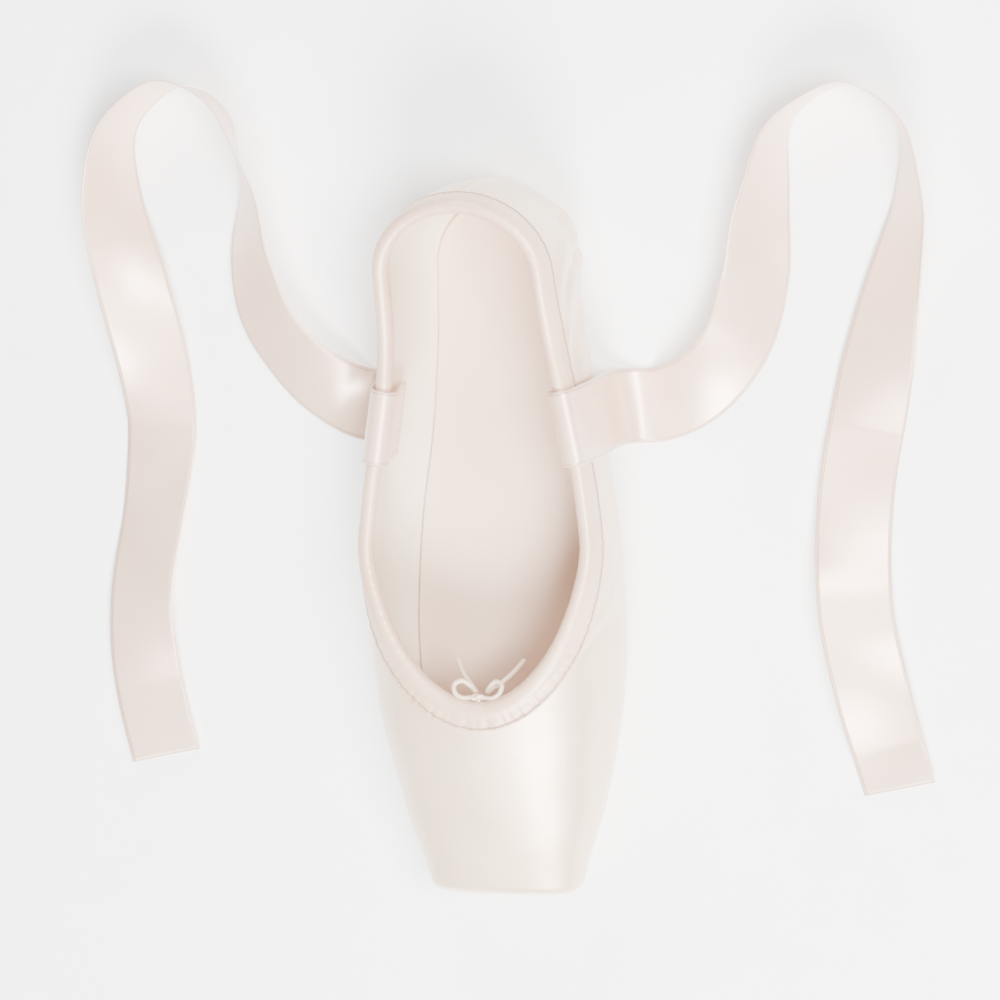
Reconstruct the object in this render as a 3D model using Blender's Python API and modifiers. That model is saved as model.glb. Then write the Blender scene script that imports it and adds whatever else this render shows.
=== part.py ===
"""Pointe shoe: satin upper, leather outsole, insole, collar binding, drawstring and ribbons.

X runs across the shoe, the toe points along -Y and Z is up. The origin lies on the floor
under the middle of the shoe, which stands unbent on its outsole.
"""

import math

import bmesh
import bpy
import numpy as np

# Driving sizes of the last, in metres

LENGTH = 0.240
BALL_WIDTH = 0.086
HEEL_WIDTH = 0.061
HEEL_CENTRE = 0.090
PLATFORM_WIDTH = 0.0505
PLATFORM_HEIGHT = 0.025
PLATFORM_LIFT = 0.0068
PLATFORM_TREAD = 0.026
PLATFORM_EDGE = 0.0026
WIDEST_HEIGHT = 0.022
VAMP_LENGTH = 0.067
INSTEP_HEIGHT = 0.0515
COLLAR_LEAN = 0.0035
SIDE_HEIGHT = 0.0445
HEEL_HEIGHT = 0.061
HEEL_LEAN = 0.006

# Walls, soles and the clearance that touching pieces keep

WALL = 0.0022
GAP = 0.0003
SOLE_THICKNESS = 0.0027
SOLE_WIDTH = 0.049
SOLE_WAIST_WIDTH = 0.027
SOLE_HEEL_WIDTH = 0.031
SOLE_TIP = 0.022
SOLE_END = 0.013
SOLE_TIP_ROUND = 0.034
SOLE_LAP = 0.002
MARGIN = 0.007
INSOLE_THICKNESS = 0.0015
ARCH_RISE = 0.003
FOREFOOT_REST_START = 0.045
FOREFOOT_REST_END = 0.090
HEEL_REST_START = 0.190

# Seam, binding, drawstring and ribbons

SEAM_PLACE = 0.160
SEAM_WIDTH = 0.0036
SEAM_RISE = 0.0006
BINDING_OUTSIDE = 0.007
BINDING_INSIDE = 0.005
BINDING_THICKNESS = 0.0008
BINDING_GAP = 0.0005
CORD_DIAMETER = 0.0016
KNOT_SIZE = (0.0046, 0.0034, 0.0036)
RIBBON_WIDTH = 0.025
RIBBON_THICKNESS = 0.0005
RIBBON_CLEARANCE = 0.0018
RIBBON_SEWN_LENGTH = 0.020
RIBBON_BEND = 0.010
RIBBON_REST = 0.0006

TOE = -LENGTH / 2
THROAT = TOE + VAMP_LENGTH
SEAM = TOE + SEAM_PLACE
BALL_FRONT = TOE + FOREFOOT_REST_START
BALL_BACK = TOE + FOREFOOT_REST_END
HEEL_FRONT = TOE + HEEL_REST_START
HEEL_REACH = LENGTH / 2 - HEEL_CENTRE
PATH_END = HEEL_CENTRE + HEEL_WIDTH / 4 * math.pi
SOLE_FRONT = TOE + SOLE_TIP
SOLE_BACK = LENGTH / 2 - SOLE_END
PROFILE_POINTS = 17
TOE_SPRING_POWER = 1.6
TOUCHING = 1e-5

# The last, a row for each section: place as a share of the length, half width as a share
# of the step from the heel's to the ball's, and how square the section's shoulders are
LAST = (
    # place, width, square
    (0.000, -0.43, 0.100),
    (0.050, -0.17, 0.085),
    (0.100, 0.17, 0.075),
    (0.150, 0.42, 0.065),
    (0.200, 0.63, 0.060),
    (0.270, 0.88, 0.055),
    (0.340, 1.00, 0.050),
    (0.420, 1.00, 0.050),
    (0.500, 0.96, 0.050),
    (0.580, 0.78, 0.050),
    (0.680, 0.42, 0.045),
    (0.780, 0.12, 0.040),
    (0.875, 0.00, 0.040),
    (1.000, 0.00, 0.040),
)

# Half width of the outsole between its rounded ends: place as a share of the outsole's length,
# then shares of the forefoot's, the waist's and the heel's width
OUTSOLE = (
    # place, forefoot, waist, heel
    (0.00, 0.84, 0.00, 0.00),
    (0.14, 0.97, 0.00, 0.00),
    (0.24, 1.00, 0.00, 0.00),
    (0.36, 0.92, 0.08, 0.00),
    (0.50, 0.42, 0.58, 0.00),
    (0.63, 0.00, 1.00, 0.00),
    (0.76, 0.00, 0.50, 0.50),
    (0.90, 0.00, 0.00, 1.00),
    (1.00, 0.00, 0.00, 1.00),
)

# Crest of the vamp from the platform to the throat: share of the way, share of the rise
CREST = (
    # place, rise
    (0.00, 0.00),
    (0.25, 0.30),
    (0.50, 0.58),
    (0.75, 0.82),
    (1.00, 1.00),
)

# Collar from the throat to the back of the heel: place as a share of that way, how far it leans
# in from the last as a share of the collar's lean, and its height as shares of the instep's, the
# side's and the heel's
COLLAR = (
    # place, lean, instep, side, heel
    (0.00, 1.00, 1.00, 0.00, 0.00),
    (0.11, 1.00, 0.88, 0.12, 0.00),
    (0.24, 1.00, 0.50, 0.50, 0.00),
    (0.36, 1.00, 0.14, 0.86, 0.00),
    (0.45, 0.95, 0.00, 1.00, 0.00),
    (0.57, 0.90, 0.00, 0.98, 0.02),
    (0.69, 0.84, 0.00, 0.78, 0.22),
    (0.83, 0.82, 0.00, 0.33, 0.67),
    (1.00, 0.82, 0.00, 0.00, 1.00),
)
THROAT_LENGTH_SHARE = 0.32
THROAT_ROUNDNESS = 1.55

# Routes of the ribbons on the floor, chosen by hand: distance out from the middle, y, lift off
# the floor and the angle that the ribbon leans to, from flat at 0 to on its edge at 90 degrees
RIGHT_ROUTE = (
    # out, y, lift, lean
    (0.062, 0.0460, 0.0005, 14.0),
    (0.079, 0.0620, 0.0010, 30.0),
    (0.088, 0.0860, 0.0020, 42.0),
    (0.091, 0.1130, 0.0010, 62.0),
    (0.099, 0.1370, 0.0000, 82.0),
    (0.118, 0.1480, 0.0000, 86.0),
    (0.135, 0.1350, 0.0000, 80.0),
    (0.139, 0.1090, 0.0010, 58.0),
    (0.132, 0.0780, 0.0030, 30.0),
    (0.124, 0.0450, 0.0020, 6.0),
    (0.118, 0.0100, 0.0004, -10.0),
    (0.118, -0.0250, 0.0030, -14.0),
    (0.124, -0.0580, 0.0030, -4.0),
    (0.131, -0.0860, 0.0004, 4.0),
)
LEFT_ROUTE = (
    # out, y, lift, lean
    (0.063, 0.0480, 0.0005, 14.0),
    (0.080, 0.0660, 0.0010, 28.0),
    (0.087, 0.0920, 0.0020, 40.0),
    (0.088, 0.1200, 0.0010, 62.0),
    (0.096, 0.1430, 0.0000, 82.0),
    (0.114, 0.1530, 0.0000, 86.0),
    (0.131, 0.1410, 0.0000, 80.0),
    (0.136, 0.1150, 0.0010, 56.0),
    (0.131, 0.0840, 0.0030, 30.0),
    (0.126, 0.0520, 0.0020, 10.0),
    (0.127, 0.0180, 0.0004, -8.0),
    (0.133, -0.0160, 0.0030, -12.0),
    (0.135, -0.0500, 0.0030, -2.0),
    (0.129, -0.0820, 0.0004, 8.0),
)

# Route of the drawstring's right half from the knot, chosen by hand, measured from the throat
CORD_ROUTE = (
    # x, behind the throat, below the instep
    (0.0027, 0.0039, 0.0020),
    (0.0052, 0.0040, 0.0012),
    (0.0076, 0.0056, 0.0016),
    (0.0080, 0.0082, 0.0032),
    (0.0058, 0.0090, 0.0048),
    (0.0034, 0.0072, 0.0054),
    (0.0020, 0.0052, 0.0064),
    (0.0034, 0.0056, 0.0092),
    (0.0062, 0.0078, 0.0120),
    (0.0088, 0.0102, 0.0148),
    (0.0106, 0.0124, 0.0176),
    (0.0116, 0.0138, 0.0192),
)


def clear_scene():
    for thing in list(bpy.data.objects):
        bpy.data.objects.remove(thing, do_unlink=True)


def material(name, colour, roughness):
    """A Principled material of one colour."""
    made = bpy.data.materials.new(name)
    made.use_nodes = True
    shader = made.node_tree.nodes["Principled BSDF"]
    shader.inputs["Base Color"].default_value = (*colour, 1.0)
    shader.inputs["Roughness"].default_value = roughness
    shader.inputs["Metallic"].default_value = 0.0
    return made


def smooth(table, column, place):
    """Value of a table's column at a place, on a smooth curve through the rows."""
    places = np.array([row[0] for row in table])
    values = np.array([row[column] for row in table])
    slopes = np.gradient(values, places)
    place = min(max(place, places[0]), places[-1])
    row = min(int(np.searchsorted(places, place, side="right")) - 1, len(places) - 2)
    step = places[row + 1] - places[row]
    t = (place - places[row]) / step
    start = (1 + 2 * t) * (1 - t) ** 2 * values[row] + t * (1 - t) ** 2 * step * slopes[row]
    end = t * t * (3 - 2 * t) * values[row + 1] - t * t * (1 - t) * step * slopes[row + 1]
    return float(start + end)


def run_of(line):
    """Distance along a line of points from its first to each."""
    steps = np.linalg.norm(np.diff(line[:, :3], axis=0), axis=1)
    return np.concatenate([[0.0], np.cumsum(steps)])


def round_heel(half_width, reach, turn):
    """Distance from the heel's centre to an ellipse, in the direction turned to."""
    return 1.0 / math.hypot(math.cos(turn) / half_width, math.sin(turn) / reach)


def floor_line(y):
    """Height of the outsole's underside: toe spring, flat forefoot, arch, flat heel."""
    if y < BALL_FRONT:
        spring = PLATFORM_LIFT - SOLE_THICKNESS - GAP
        return spring * ((BALL_FRONT - y) / (BALL_FRONT - TOE)) ** TOE_SPRING_POWER
    if BALL_BACK < y < HEEL_FRONT:
        way = (y - BALL_BACK) / (HEEL_FRONT - BALL_BACK)
        return ARCH_RISE * math.sin(math.pi * way) ** 2
    return 0.0


def outsole_half(y, inset=0.0):
    """Half width of the outsole's outline, or of a line inside it."""
    front, back = SOLE_FRONT + inset, SOLE_BACK - inset
    if not front < y < back:
        return 0.0
    place = (y - SOLE_FRONT) / (SOLE_BACK - SOLE_FRONT)
    widths = (SOLE_WIDTH, SOLE_WAIST_WIDTH, SOLE_HEEL_WIDTH)
    half = sum(smooth(OUTSOLE, i + 1, place) * width / 2 for i, width in enumerate(widths)) - inset
    tip = min(1.0, (y - front) / (SOLE_TIP_ROUND - inset))
    half *= math.sqrt(1 - (1 - tip) ** 2)
    if y > HEEL_CENTRE:
        half *= math.sqrt(1 - ((y - HEEL_CENTRE) / (back - HEEL_CENTRE)) ** 2)
    return half


def last_half(y):
    """Half width of the last, before the platform's rounded edge."""
    share = smooth(LAST, 1, (y - TOE) / LENGTH)
    narrow = (HEEL_WIDTH - PLATFORM_WIDTH) / -LAST[0][1]
    spread = BALL_WIDTH - HEEL_WIDTH if share > 0 else narrow
    return (HEEL_WIDTH + share * spread) / 2


def tread_half(y):
    """Half width of the upper's flat underside, a little wider than the outsole."""
    under = outsole_half(y) + SOLE_LAP
    if y > SOLE_FRONT + SOLE_TIP_ROUND:
        return under
    way = (y - TOE) / (SOLE_TIP + SOLE_TIP_ROUND)
    wide = outsole_half(SOLE_FRONT + SOLE_TIP_ROUND) + SOLE_LAP
    return PLATFORM_TREAD / 2 + (wide - PLATFORM_TREAD / 2) * math.sin(way * math.pi / 2)


def collar_half(y):
    """Half width of the opening: a round throat that widens into the collar."""
    way = (y - THROAT) / (LENGTH / 2 - THROAT)
    if way <= 0.0:
        return 0.0
    half = last_half(y) - COLLAR_LEAN * smooth(COLLAR, 1, way)
    if way < THROAT_LENGTH_SHARE:
        half *= math.sqrt(1 - (1 - way / THROAT_LENGTH_SHARE) ** THROAT_ROUNDNESS)
    return half


def collar_height(y):
    way = (y - THROAT) / (LENGTH / 2 - THROAT)
    heights = (INSTEP_HEIGHT, SIDE_HEIGHT, HEEL_HEIGHT)
    return sum(smooth(COLLAR, i + 2, way) * height for i, height in enumerate(heights))


def arc(angle, square):
    """Unit arc from the side (0) to the crest (pi / 2), with fuller shoulders when square."""
    fuller = 1 + square * math.sin(2 * angle) ** 2
    return math.cos(angle) * fuller, math.sin(angle) * fuller


class Section:
    """One section of the upper: straight across, then fanned round the heel's centre."""

    def __init__(self, path):
        self.turn = max(0.0, path - HEEL_CENTRE) / (HEEL_WIDTH / 2)
        self.centre = min(path, HEEL_CENTRE)
        self.side_y = self.centre + HEEL_REACH * math.sin(self.turn)
        share = (self.side_y - TOE) / LENGTH
        depth = min(path - TOE, PLATFORM_EDGE)
        inset = PLATFORM_EDGE - math.sqrt(PLATFORM_EDGE**2 - (PLATFORM_EDGE - depth) ** 2)
        self.square = smooth(LAST, 2, share)
        self.widest = WIDEST_HEIGHT
        self.bottom = floor_line(self.side_y) + SOLE_THICKNESS + GAP + inset
        self.half = round_heel(last_half(self.centre), HEEL_REACH, self.turn) - inset
        sole_reach = SOLE_BACK - HEEL_CENTRE
        self.tread = round_heel(tread_half(self.centre), sole_reach + SOLE_LAP, self.turn) - inset
        slot = outsole_half(self.centre, MARGIN)
        self.slot = round_heel(slot, sole_reach - MARGIN, self.turn) if slot > 0 else 0.0
        self.collar_angle = math.pi / 2
        if path <= THROAT:
            start = PLATFORM_LIFT + PLATFORM_HEIGHT
            rise = smooth(CREST, 1, (path - TOE) / VAMP_LENGTH)
            self.crest = start + rise * (INSTEP_HEIGHT - start) - inset
        else:
            reach = round_heel(collar_half(self.centre), HEEL_REACH - HEEL_LEAN, self.turn)
            self.collar_angle = self.angle_at(reach / self.half)
            rise = collar_height(self.side_y) - self.widest
            self.crest = self.widest + rise / arc(self.collar_angle, self.square)[1]

    def angle_at(self, share):
        """Angle at which the upper arc is this share of the half width from the middle."""
        low, high = 0.0, math.pi / 2
        for _ in range(40):
            middle = (low + high) / 2
            if arc(middle, self.square)[0] > share:
                low = middle
            else:
                high = middle
        return low

    def place(self, out, z):
        """Point at a distance out from the section's middle, at a height."""
        return np.array(
            (out * math.cos(self.turn), self.centre + out * math.sin(self.turn), z)
        )

    def skin(self, angle):
        """Point on the outside: above the side for a positive angle, else below it."""
        if angle >= 0:
            out, up = arc(angle, self.square)
            return self.place(self.half * out, self.widest + (self.crest - self.widest) * up)
        out, down = arc(-angle, self.square)
        out = self.tread + (self.half - self.tread) * out
        return self.place(out, self.widest - (self.widest - self.bottom) * down)

    def profile(self, count):
        """Evenly spaced points from the edge underneath up to the collar or the crest."""
        arcs = 60
        angles = np.linspace(-math.pi / 2, self.collar_angle, arcs)
        line = [self.place(self.slot, self.bottom)] + [self.skin(angle) for angle in angles]
        line = np.array(line)
        lengths = run_of(line)
        spaced = np.linspace(0, lengths[-1], count)
        return np.stack([np.interp(spaced, lengths, line[:, i]) for i in range(3)], axis=1)


def surface(path, angle):
    return Section(path).skin(angle)


def slopes(path, angle):
    """Change of the outside's point along the path and round the section."""
    step = TOUCHING
    before = min(path - step, PATH_END - step)
    along = (surface(before + step, angle) - surface(before, angle)) / step
    round_ = (surface(path, angle + step * 10) - surface(path, angle - step * 10)) / (20 * step)
    return along, round_


def outward(path, angle):
    along, round_ = slopes(path, angle)
    normal = np.cross(along, round_)
    return normal / np.linalg.norm(normal)


class CollarPoint:
    """Edge of the upper at one place, with its directions and the skin below it."""

    def __init__(self, path):
        self.path = path
        self.angle = Section(path).collar_angle
        self.edge = surface(self.path, self.angle)
        self.out = outward(self.path, self.angle)
        step = 2e-5
        low = min(max(path, THROAT + step), PATH_END - step)
        ends = [Section(low - step), Section(low + step)]
        run = ends[1].skin(ends[1].collar_angle) - ends[0].skin(ends[0].collar_angle)
        if path <= THROAT + step:
            run = np.array((1.0, 0.0, 0.0))
        if path >= PATH_END - step:
            run = np.array((-1.0, 0.0, 0.0))
        run -= self.out * (run @ self.out)
        self.run = run / np.linalg.norm(run)
        self.down = np.cross(self.run, self.out)

    def below(self, distance, steps=6):
        """Skin point and outward direction at a distance below the edge."""
        path, angle, heading = self.path, self.angle, self.down
        for _ in range(steps):
            along, round_ = slopes(path, angle)
            basis = np.stack([along, round_], axis=1)
            change, *_ = np.linalg.lstsq(basis, heading * distance / steps, rcond=None)
            path, angle = path + change[0], angle + change[1]
            normal = outward(path, angle)
            heading = heading - normal * (heading @ normal)
            heading /= np.linalg.norm(heading)
        return surface(path, angle), outward(path, angle)


def seam_rise(path, point, section):
    """How far the side seam stands out of the skin at a point."""
    across = abs(path - SEAM) / (SEAM_WIDTH / 2)
    if across >= 1:
        return 0.0
    below_binding = collar_height(section.side_y) - BINDING_OUTSIDE - BINDING_GAP - point[2]
    above_sole = point[2] - section.bottom
    fade = min(1.0, max(0.0, below_binding / SEAM_WIDTH))
    return SEAM_RISE * math.sqrt(1 - across**2) * fade * min(1.0, above_sole / SEAM_WIDTH)


def upper_paths():
    """Places of the upper's sections, closer together where its edges turn."""
    edge = [TOE + PLATFORM_EDGE * (1 - math.cos(a)) for a in np.linspace(0, math.pi / 2, 4)]
    slot_tip = SOLE_FRONT + MARGIN
    toe_run = list(np.linspace(edge[-1], slot_tip, 5)[1:])
    tip_run = [slot_tip + (THROAT - slot_tip) * share**2 for share in np.linspace(0, 1, 8)[1:]]
    throat_end = THROAT + (LENGTH / 2 - THROAT) * THROAT_LENGTH_SHARE
    throat = [THROAT + (throat_end - THROAT) * share**2 for share in np.linspace(0, 1, 12)[1:]]
    seam = [SEAM + SEAM_WIDTH / 2 * share for share in (-1.0, -0.6, 0.6, 1.0)]
    waist = list(np.linspace(throat_end, seam[0], 5)[1:-1])
    quarter = list(np.linspace(seam[-1], HEEL_CENTRE, 5)[1:])
    heel = list(np.linspace(HEEL_CENTRE, PATH_END, 9)[1:])
    return edge + toe_run + tip_run + throat + waist + seam + quarter + heel


def skinned(name, faces_of, finish, collection):
    """Object whose mesh a function fills with faces."""
    mesh = bpy.data.meshes.new(name)
    shape = bmesh.new()
    faces_of(shape)
    bmesh.ops.remove_doubles(shape, verts=shape.verts, dist=TOUCHING / 10)
    shape.to_mesh(mesh)
    shape.free()
    made = bpy.data.objects.new(name, mesh)
    mesh.materials.append(finish)
    collection.objects.link(made)
    return made


def add_grid(shape, rows, closed=False):
    """Faces between rows of points that run alike; each row may be a closed ring."""
    verts = [[shape.verts.new(point) for point in row] for row in rows]
    count = len(rows[0])
    for first, second in zip(verts, verts[1:]):
        for i in range(count if closed else count - 1):
            j = (i + 1) % count
            corners = (first[i], second[i], second[j], first[j])
            spots = {tuple(round(value, 6) for value in corner.co) for corner in corners}
            if len(spots) == 4:
                shape.faces.new(corners)
            elif len(spots) == 3:
                kept = [corners[0]]
                for corner in corners[1:]:
                    if all((corner.co - other.co).length > TOUCHING / 10 for other in kept):
                        kept.append(corner)
                shape.faces.new(kept)
    return verts


def mirror_x(made):
    mirror = made.modifiers.new("Mirror", "MIRROR")
    mirror.use_axis = (True, False, False)
    mirror.merge_threshold = TOUCHING


def solidify(made, thickness, offset):
    shell = made.modifiers.new("Solidify", "SOLIDIFY")
    shell.thickness = thickness
    shell.offset = offset
    shell.use_even_offset = True


def shade(made):
    made.data.shade_smooth()
    made.data.set_sharp_from_angle(angle=math.radians(50))


def upper(finish, collection):
    """One hollow wall, open at the throat and collar and underneath."""

    def faces(shape):
        rows = []
        for path in upper_paths():
            section = Section(path)
            row = section.profile(PROFILE_POINTS)
            on_crest = section.collar_angle >= math.pi / 2
            for i, point in enumerate(row):
                side = section.place(1.0, 0.0) - section.place(0.0, 0.0)
                row[i] = point + side * seam_rise(path, point, section)
                at_middle = (i == 0 and section.slot == 0) or (i == len(row) - 1 and on_crest)
                if at_middle or path >= PATH_END - TOUCHING:
                    row[i][0] = 0.0
            rows.append(row)
        verts = add_grid(shape, rows)
        shape.faces.new(verts[0])

    made = skinned("upper", faces, finish, collection)
    mirror_x(made)
    solidify(made, WALL, -1)
    shade(made)
    return made


def sole_plate(name, height, thickness, inset, finish, collection):
    """Plate with the outsole's outline that follows the line of the floor, rounded at its ends."""
    front, back = SOLE_FRONT + inset, SOLE_BACK - inset
    quarter_turn = np.linspace(0, math.pi / 2, 9)
    tip = [front + SOLE_TIP_ROUND * (1 - math.cos(a)) for a in quarter_turn]
    tip = [y for y in tip if abs(y - BALL_FRONT) > SOLE_LAP] + [BALL_FRONT]
    ball = list(np.linspace(max(tip), BALL_BACK, 4)[1:])
    arch = list(np.linspace(BALL_BACK, HEEL_FRONT, 11)[1:])
    heel = [HEEL_CENTRE + (back - HEEL_CENTRE) * math.sin(a) for a in quarter_turn]
    stations = sorted(set(tip + ball + arch + heel))

    def faces(shape):
        rows = []
        for y in stations:
            half = outsole_half(y, inset)
            rows.append([(half * share, y, floor_line(y) + height) for share in (0.0, 0.5, 1.0)])
        add_grid(shape, rows)

    made = skinned(name, faces, finish, collection)
    mirror_x(made)
    solidify(made, thickness, -1)
    shade(made)
    return made


def binding(finish, collection):
    """Folded tape over the collar's edge, a U in section with a bead on top."""
    near, far = BINDING_GAP, BINDING_GAP + BINDING_THICKNESS
    paths = [path for path in upper_paths() if path >= THROAT]

    def ring(path):
        point = CollarPoint(path)
        outside = [point.below(BINDING_OUTSIDE * share) for share in (1.0, 0.5)]
        inside = [point.below(BINDING_INSIDE * share) for share in (0.5, 1.0)]
        outside.append((point.edge, point.out))
        inside.insert(0, (point.edge, point.out))
        up = -point.down
        loop = [spot + out * far for spot, out in outside]
        loop += [point.edge + point.out * offset + up * far for offset in
                 (near, -WALL - near)]
        loop += [spot - out * (WALL + far) for spot, out in inside]
        loop += [spot - out * (WALL + near) for spot, out in reversed(inside)]
        loop[-1] = loop[-1] + up * near
        loop += [point.edge + point.out * near + up * near]
        loop += [spot + out * near for spot, out in reversed(outside[:-1])]
        loop = np.array(loop)
        if path <= THROAT + TOUCHING or path >= PATH_END - TOUCHING:
            loop[:, 0] = 0.0
        return loop

    def faces(shape):
        add_grid(shape, [ring(path) for path in paths], closed=True)

    made = skinned("binding", faces, finish, collection)
    mirror_x(made)
    shade(made)
    return made


def through(points, spacing):
    """Points at an even spacing along a smooth curve through a route's points."""
    points = np.array(points, float)
    lengths = run_of(points)
    fine = np.linspace(0, lengths[-1], 40 * len(points))
    columns = []
    for i in range(points.shape[1]):
        table = [(length, value) for length, value in zip(lengths, points[:, i])]
        columns.append([smooth(table, 1, place) for place in fine])
    line = np.array(columns).T
    run = run_of(line)
    places = np.linspace(0, run[-1], max(2, round(run[-1] / spacing) + 1))
    return np.stack([np.interp(places, run, line[:, i]) for i in range(line.shape[1])], axis=1)


def ribbon_start():
    """Centre line of a ribbon from its sewn end, over the collar and down to the floor."""
    edge = CollarPoint(SEAM)
    off = BINDING_GAP + BINDING_THICKNESS + RIBBON_CLEARANCE
    line = []
    for share in (1.0, 0.75, 0.5, 0.25):
        spot, out = edge.below(RIBBON_SEWN_LENGTH * share)
        line.append(spot - out * (WALL + off))
    middle = edge.edge - edge.out * WALL / 2
    radius = WALL / 2 + off
    for angle in np.linspace(0, math.pi, 9):
        turned = edge.out * math.cos(angle) + edge.down * math.sin(angle)
        line.append(middle - turned * radius)
    for share in (0.3, 0.6, 0.9):
        spot, out = edge.below((SIDE_HEIGHT - WIDEST_HEIGHT) * share)
        line.append(spot + out * off)
    drop = line[-1]
    for angle in np.linspace(0, math.pi / 2, 5):
        reach = RIBBON_BEND * (1 - math.cos(angle))
        height = RIBBON_REST + RIBBON_BEND * (1 - math.sin(angle))
        line.append(np.array((drop[0] + reach, drop[1], height)))
    return line, edge.run


def ribbon(name, route, side, finish, collection):
    """Flat satin strip: sewn inside the quarter, over the collar, down and along the floor."""
    line, collar_run = ribbon_start()
    rows = [(*point, 0.0) for point in line]
    rows += [(x, y, RIBBON_REST + lift, lean) for x, y, lift, lean in route]
    spaced = through(rows, RIBBON_WIDTH / 6)
    leans = np.radians(spaced[:, 3])
    centres = spaced[:, :3]
    centres[:, 2] = np.maximum(centres[:, 2], RIBBON_REST)
    centres[:, 2] += RIBBON_WIDTH / 2 * np.abs(np.sin(leans))
    floor_from = run_of(np.array(line))[-1]
    away = run_of(spaced)
    strip = []
    for i, centre in enumerate(centres):
        ahead = centres[min(i + 1, len(centres) - 1)] - centres[max(i - 1, 0)]
        ahead /= np.linalg.norm(ahead)
        on_floor = min(1.0, max(0.0, (away[i] - floor_from) / RIBBON_WIDTH + 0.5))
        wide = collar_run * (1 - on_floor) + np.cross((0.0, 0.0, 1.0), ahead) * on_floor
        wide -= ahead * (wide @ ahead)
        wide /= np.linalg.norm(wide)
        wide = wide * math.cos(leans[i]) + np.cross(ahead, wide) * math.sin(leans[i])
        row = [centre + wide * RIBBON_WIDTH / 2 * share for share in (-1, 0, 1)]
        strip.append([(side * point[0], point[1], point[2]) for point in row])

    made = skinned(name, lambda shape: add_grid(shape, strip), finish, collection)
    solidify(made, RIBBON_THICKNESS, 0)
    shade(made)


def cord(name, route, finish, collection):
    """Round cord along a smooth curve through its route."""
    data = bpy.data.curves.new(name, "CURVE")
    data.dimensions = "3D"
    data.bevel_depth = CORD_DIAMETER / 2
    data.bevel_resolution = 2
    data.use_fill_caps = True
    points = through(route, CORD_DIAMETER)
    spline = data.splines.new("POLY")
    spline.points.add(len(points) - 1)
    for point, spot in zip(spline.points, points):
        point.co = (*spot, 1.0)
    data.materials.append(finish)
    made = bpy.data.objects.new(name, data)
    collection.objects.link(made)
    return made


def drawstring(finish, collection):
    """The cord's two halves with a knot between them, just behind the throat."""
    for name, side in (("drawstring_left", -1), ("drawstring_right", 1)):
        route = [(side * x, THROAT + back, INSTEP_HEIGHT - below) for x, back, below in CORD_ROUTE]
        cord(name, route, finish, collection)
    bpy.ops.mesh.primitive_uv_sphere_add(segments=14, ring_count=8, radius=0.5)
    knot = bpy.context.object
    knot.name = "drawstring_knot"
    knot.scale = KNOT_SIZE
    start = CORD_ROUTE[0]
    knot.location = (0.0, THROAT + start[1], INSTEP_HEIGHT - start[2])
    bpy.ops.object.transform_apply(location=False, rotation=False, scale=True)
    knot.data.materials.append(finish)
    knot.data.shade_smooth()
    for other in list(knot.users_collection):
        other.objects.unlink(knot)
    collection.objects.link(knot)


def main():
    clear_scene()
    shoe = bpy.data.collections.new("pointe_shoe")
    bpy.context.scene.collection.children.link(shoe)
    satin = material("satin", (0.90, 0.83, 0.77), 0.35)
    tape = material("binding_tape", (0.86, 0.76, 0.69), 0.45)
    leather = material("sole_leather", (0.74, 0.54, 0.39), 0.75)
    sock = material("insole_sock", (0.80, 0.70, 0.60), 0.85)
    cotton = material("drawstring_cotton", (0.86, 0.76, 0.66), 0.80)
    ribbon_satin = material("ribbon_satin", (0.88, 0.78, 0.72), 0.30)

    upper(satin, shoe)
    sole_plate("outsole", 0.0, SOLE_THICKNESS, 0.0, leather, shoe)
    insole_height = SOLE_THICKNESS + GAP + WALL + GAP
    sole_plate("insole", insole_height, INSOLE_THICKNESS, GAP, sock, shoe)
    binding(tape, shoe)
    ribbon("ribbon_right", RIGHT_ROUTE, 1, ribbon_satin, shoe)
    ribbon("ribbon_left", LEFT_ROUTE, -1, ribbon_satin, shoe)
    drawstring(cotton, shoe)


main()
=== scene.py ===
"""Looks of an ivory satin pointe shoe that stands unbent on its leather outsole.

X runs across the shoe, the toe points along -Y and Z is up; all lengths are in metres.
The last repeats the sizes of the solids, and each piece is laid on it.
"""

import logging
import math
from dataclasses import dataclass, field
from enum import Enum

import bmesh
import bpy
import numpy as np
from mathutils import Matrix, Vector


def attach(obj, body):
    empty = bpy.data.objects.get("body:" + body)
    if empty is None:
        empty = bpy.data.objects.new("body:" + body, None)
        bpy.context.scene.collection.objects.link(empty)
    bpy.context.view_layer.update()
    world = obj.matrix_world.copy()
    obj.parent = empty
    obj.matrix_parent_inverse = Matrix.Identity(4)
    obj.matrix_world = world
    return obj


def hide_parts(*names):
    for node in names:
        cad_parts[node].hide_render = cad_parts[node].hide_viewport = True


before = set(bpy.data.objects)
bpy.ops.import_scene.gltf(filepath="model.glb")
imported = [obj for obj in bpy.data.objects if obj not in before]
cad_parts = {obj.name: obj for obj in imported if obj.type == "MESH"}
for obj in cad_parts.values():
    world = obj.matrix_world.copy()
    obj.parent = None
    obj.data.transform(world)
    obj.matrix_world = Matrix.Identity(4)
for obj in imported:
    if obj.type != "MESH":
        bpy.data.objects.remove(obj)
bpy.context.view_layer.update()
LOG = logging.getLogger("pointe_shoe")

MM = 0.001
TURN = 2 * math.pi
# Points nearer than this to the middle plane, or to an end, count as on it
TOUCH = 1e-6
Array = np.ndarray
Colour = tuple[float, float, float]


class Side(Enum):
    """A side of the shoe, as the sign of X there."""

    LEFT = -1
    RIGHT = 1


# Sums on arrays


def tinted(red: float, green: float, blue: float) -> Colour:
    """A colour given on the usual 0 to 255 scale, as light values.

    Args:
        red, green, blue: The display values.

    Returns:
        The three linear values.
    """
    shares = [value / 255.0 for value in (red, green, blue)]
    return tuple(s / 12.92 if s < 0.04045 else ((s + 0.055) / 1.055) ** 2.4 for s in shares)


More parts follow.
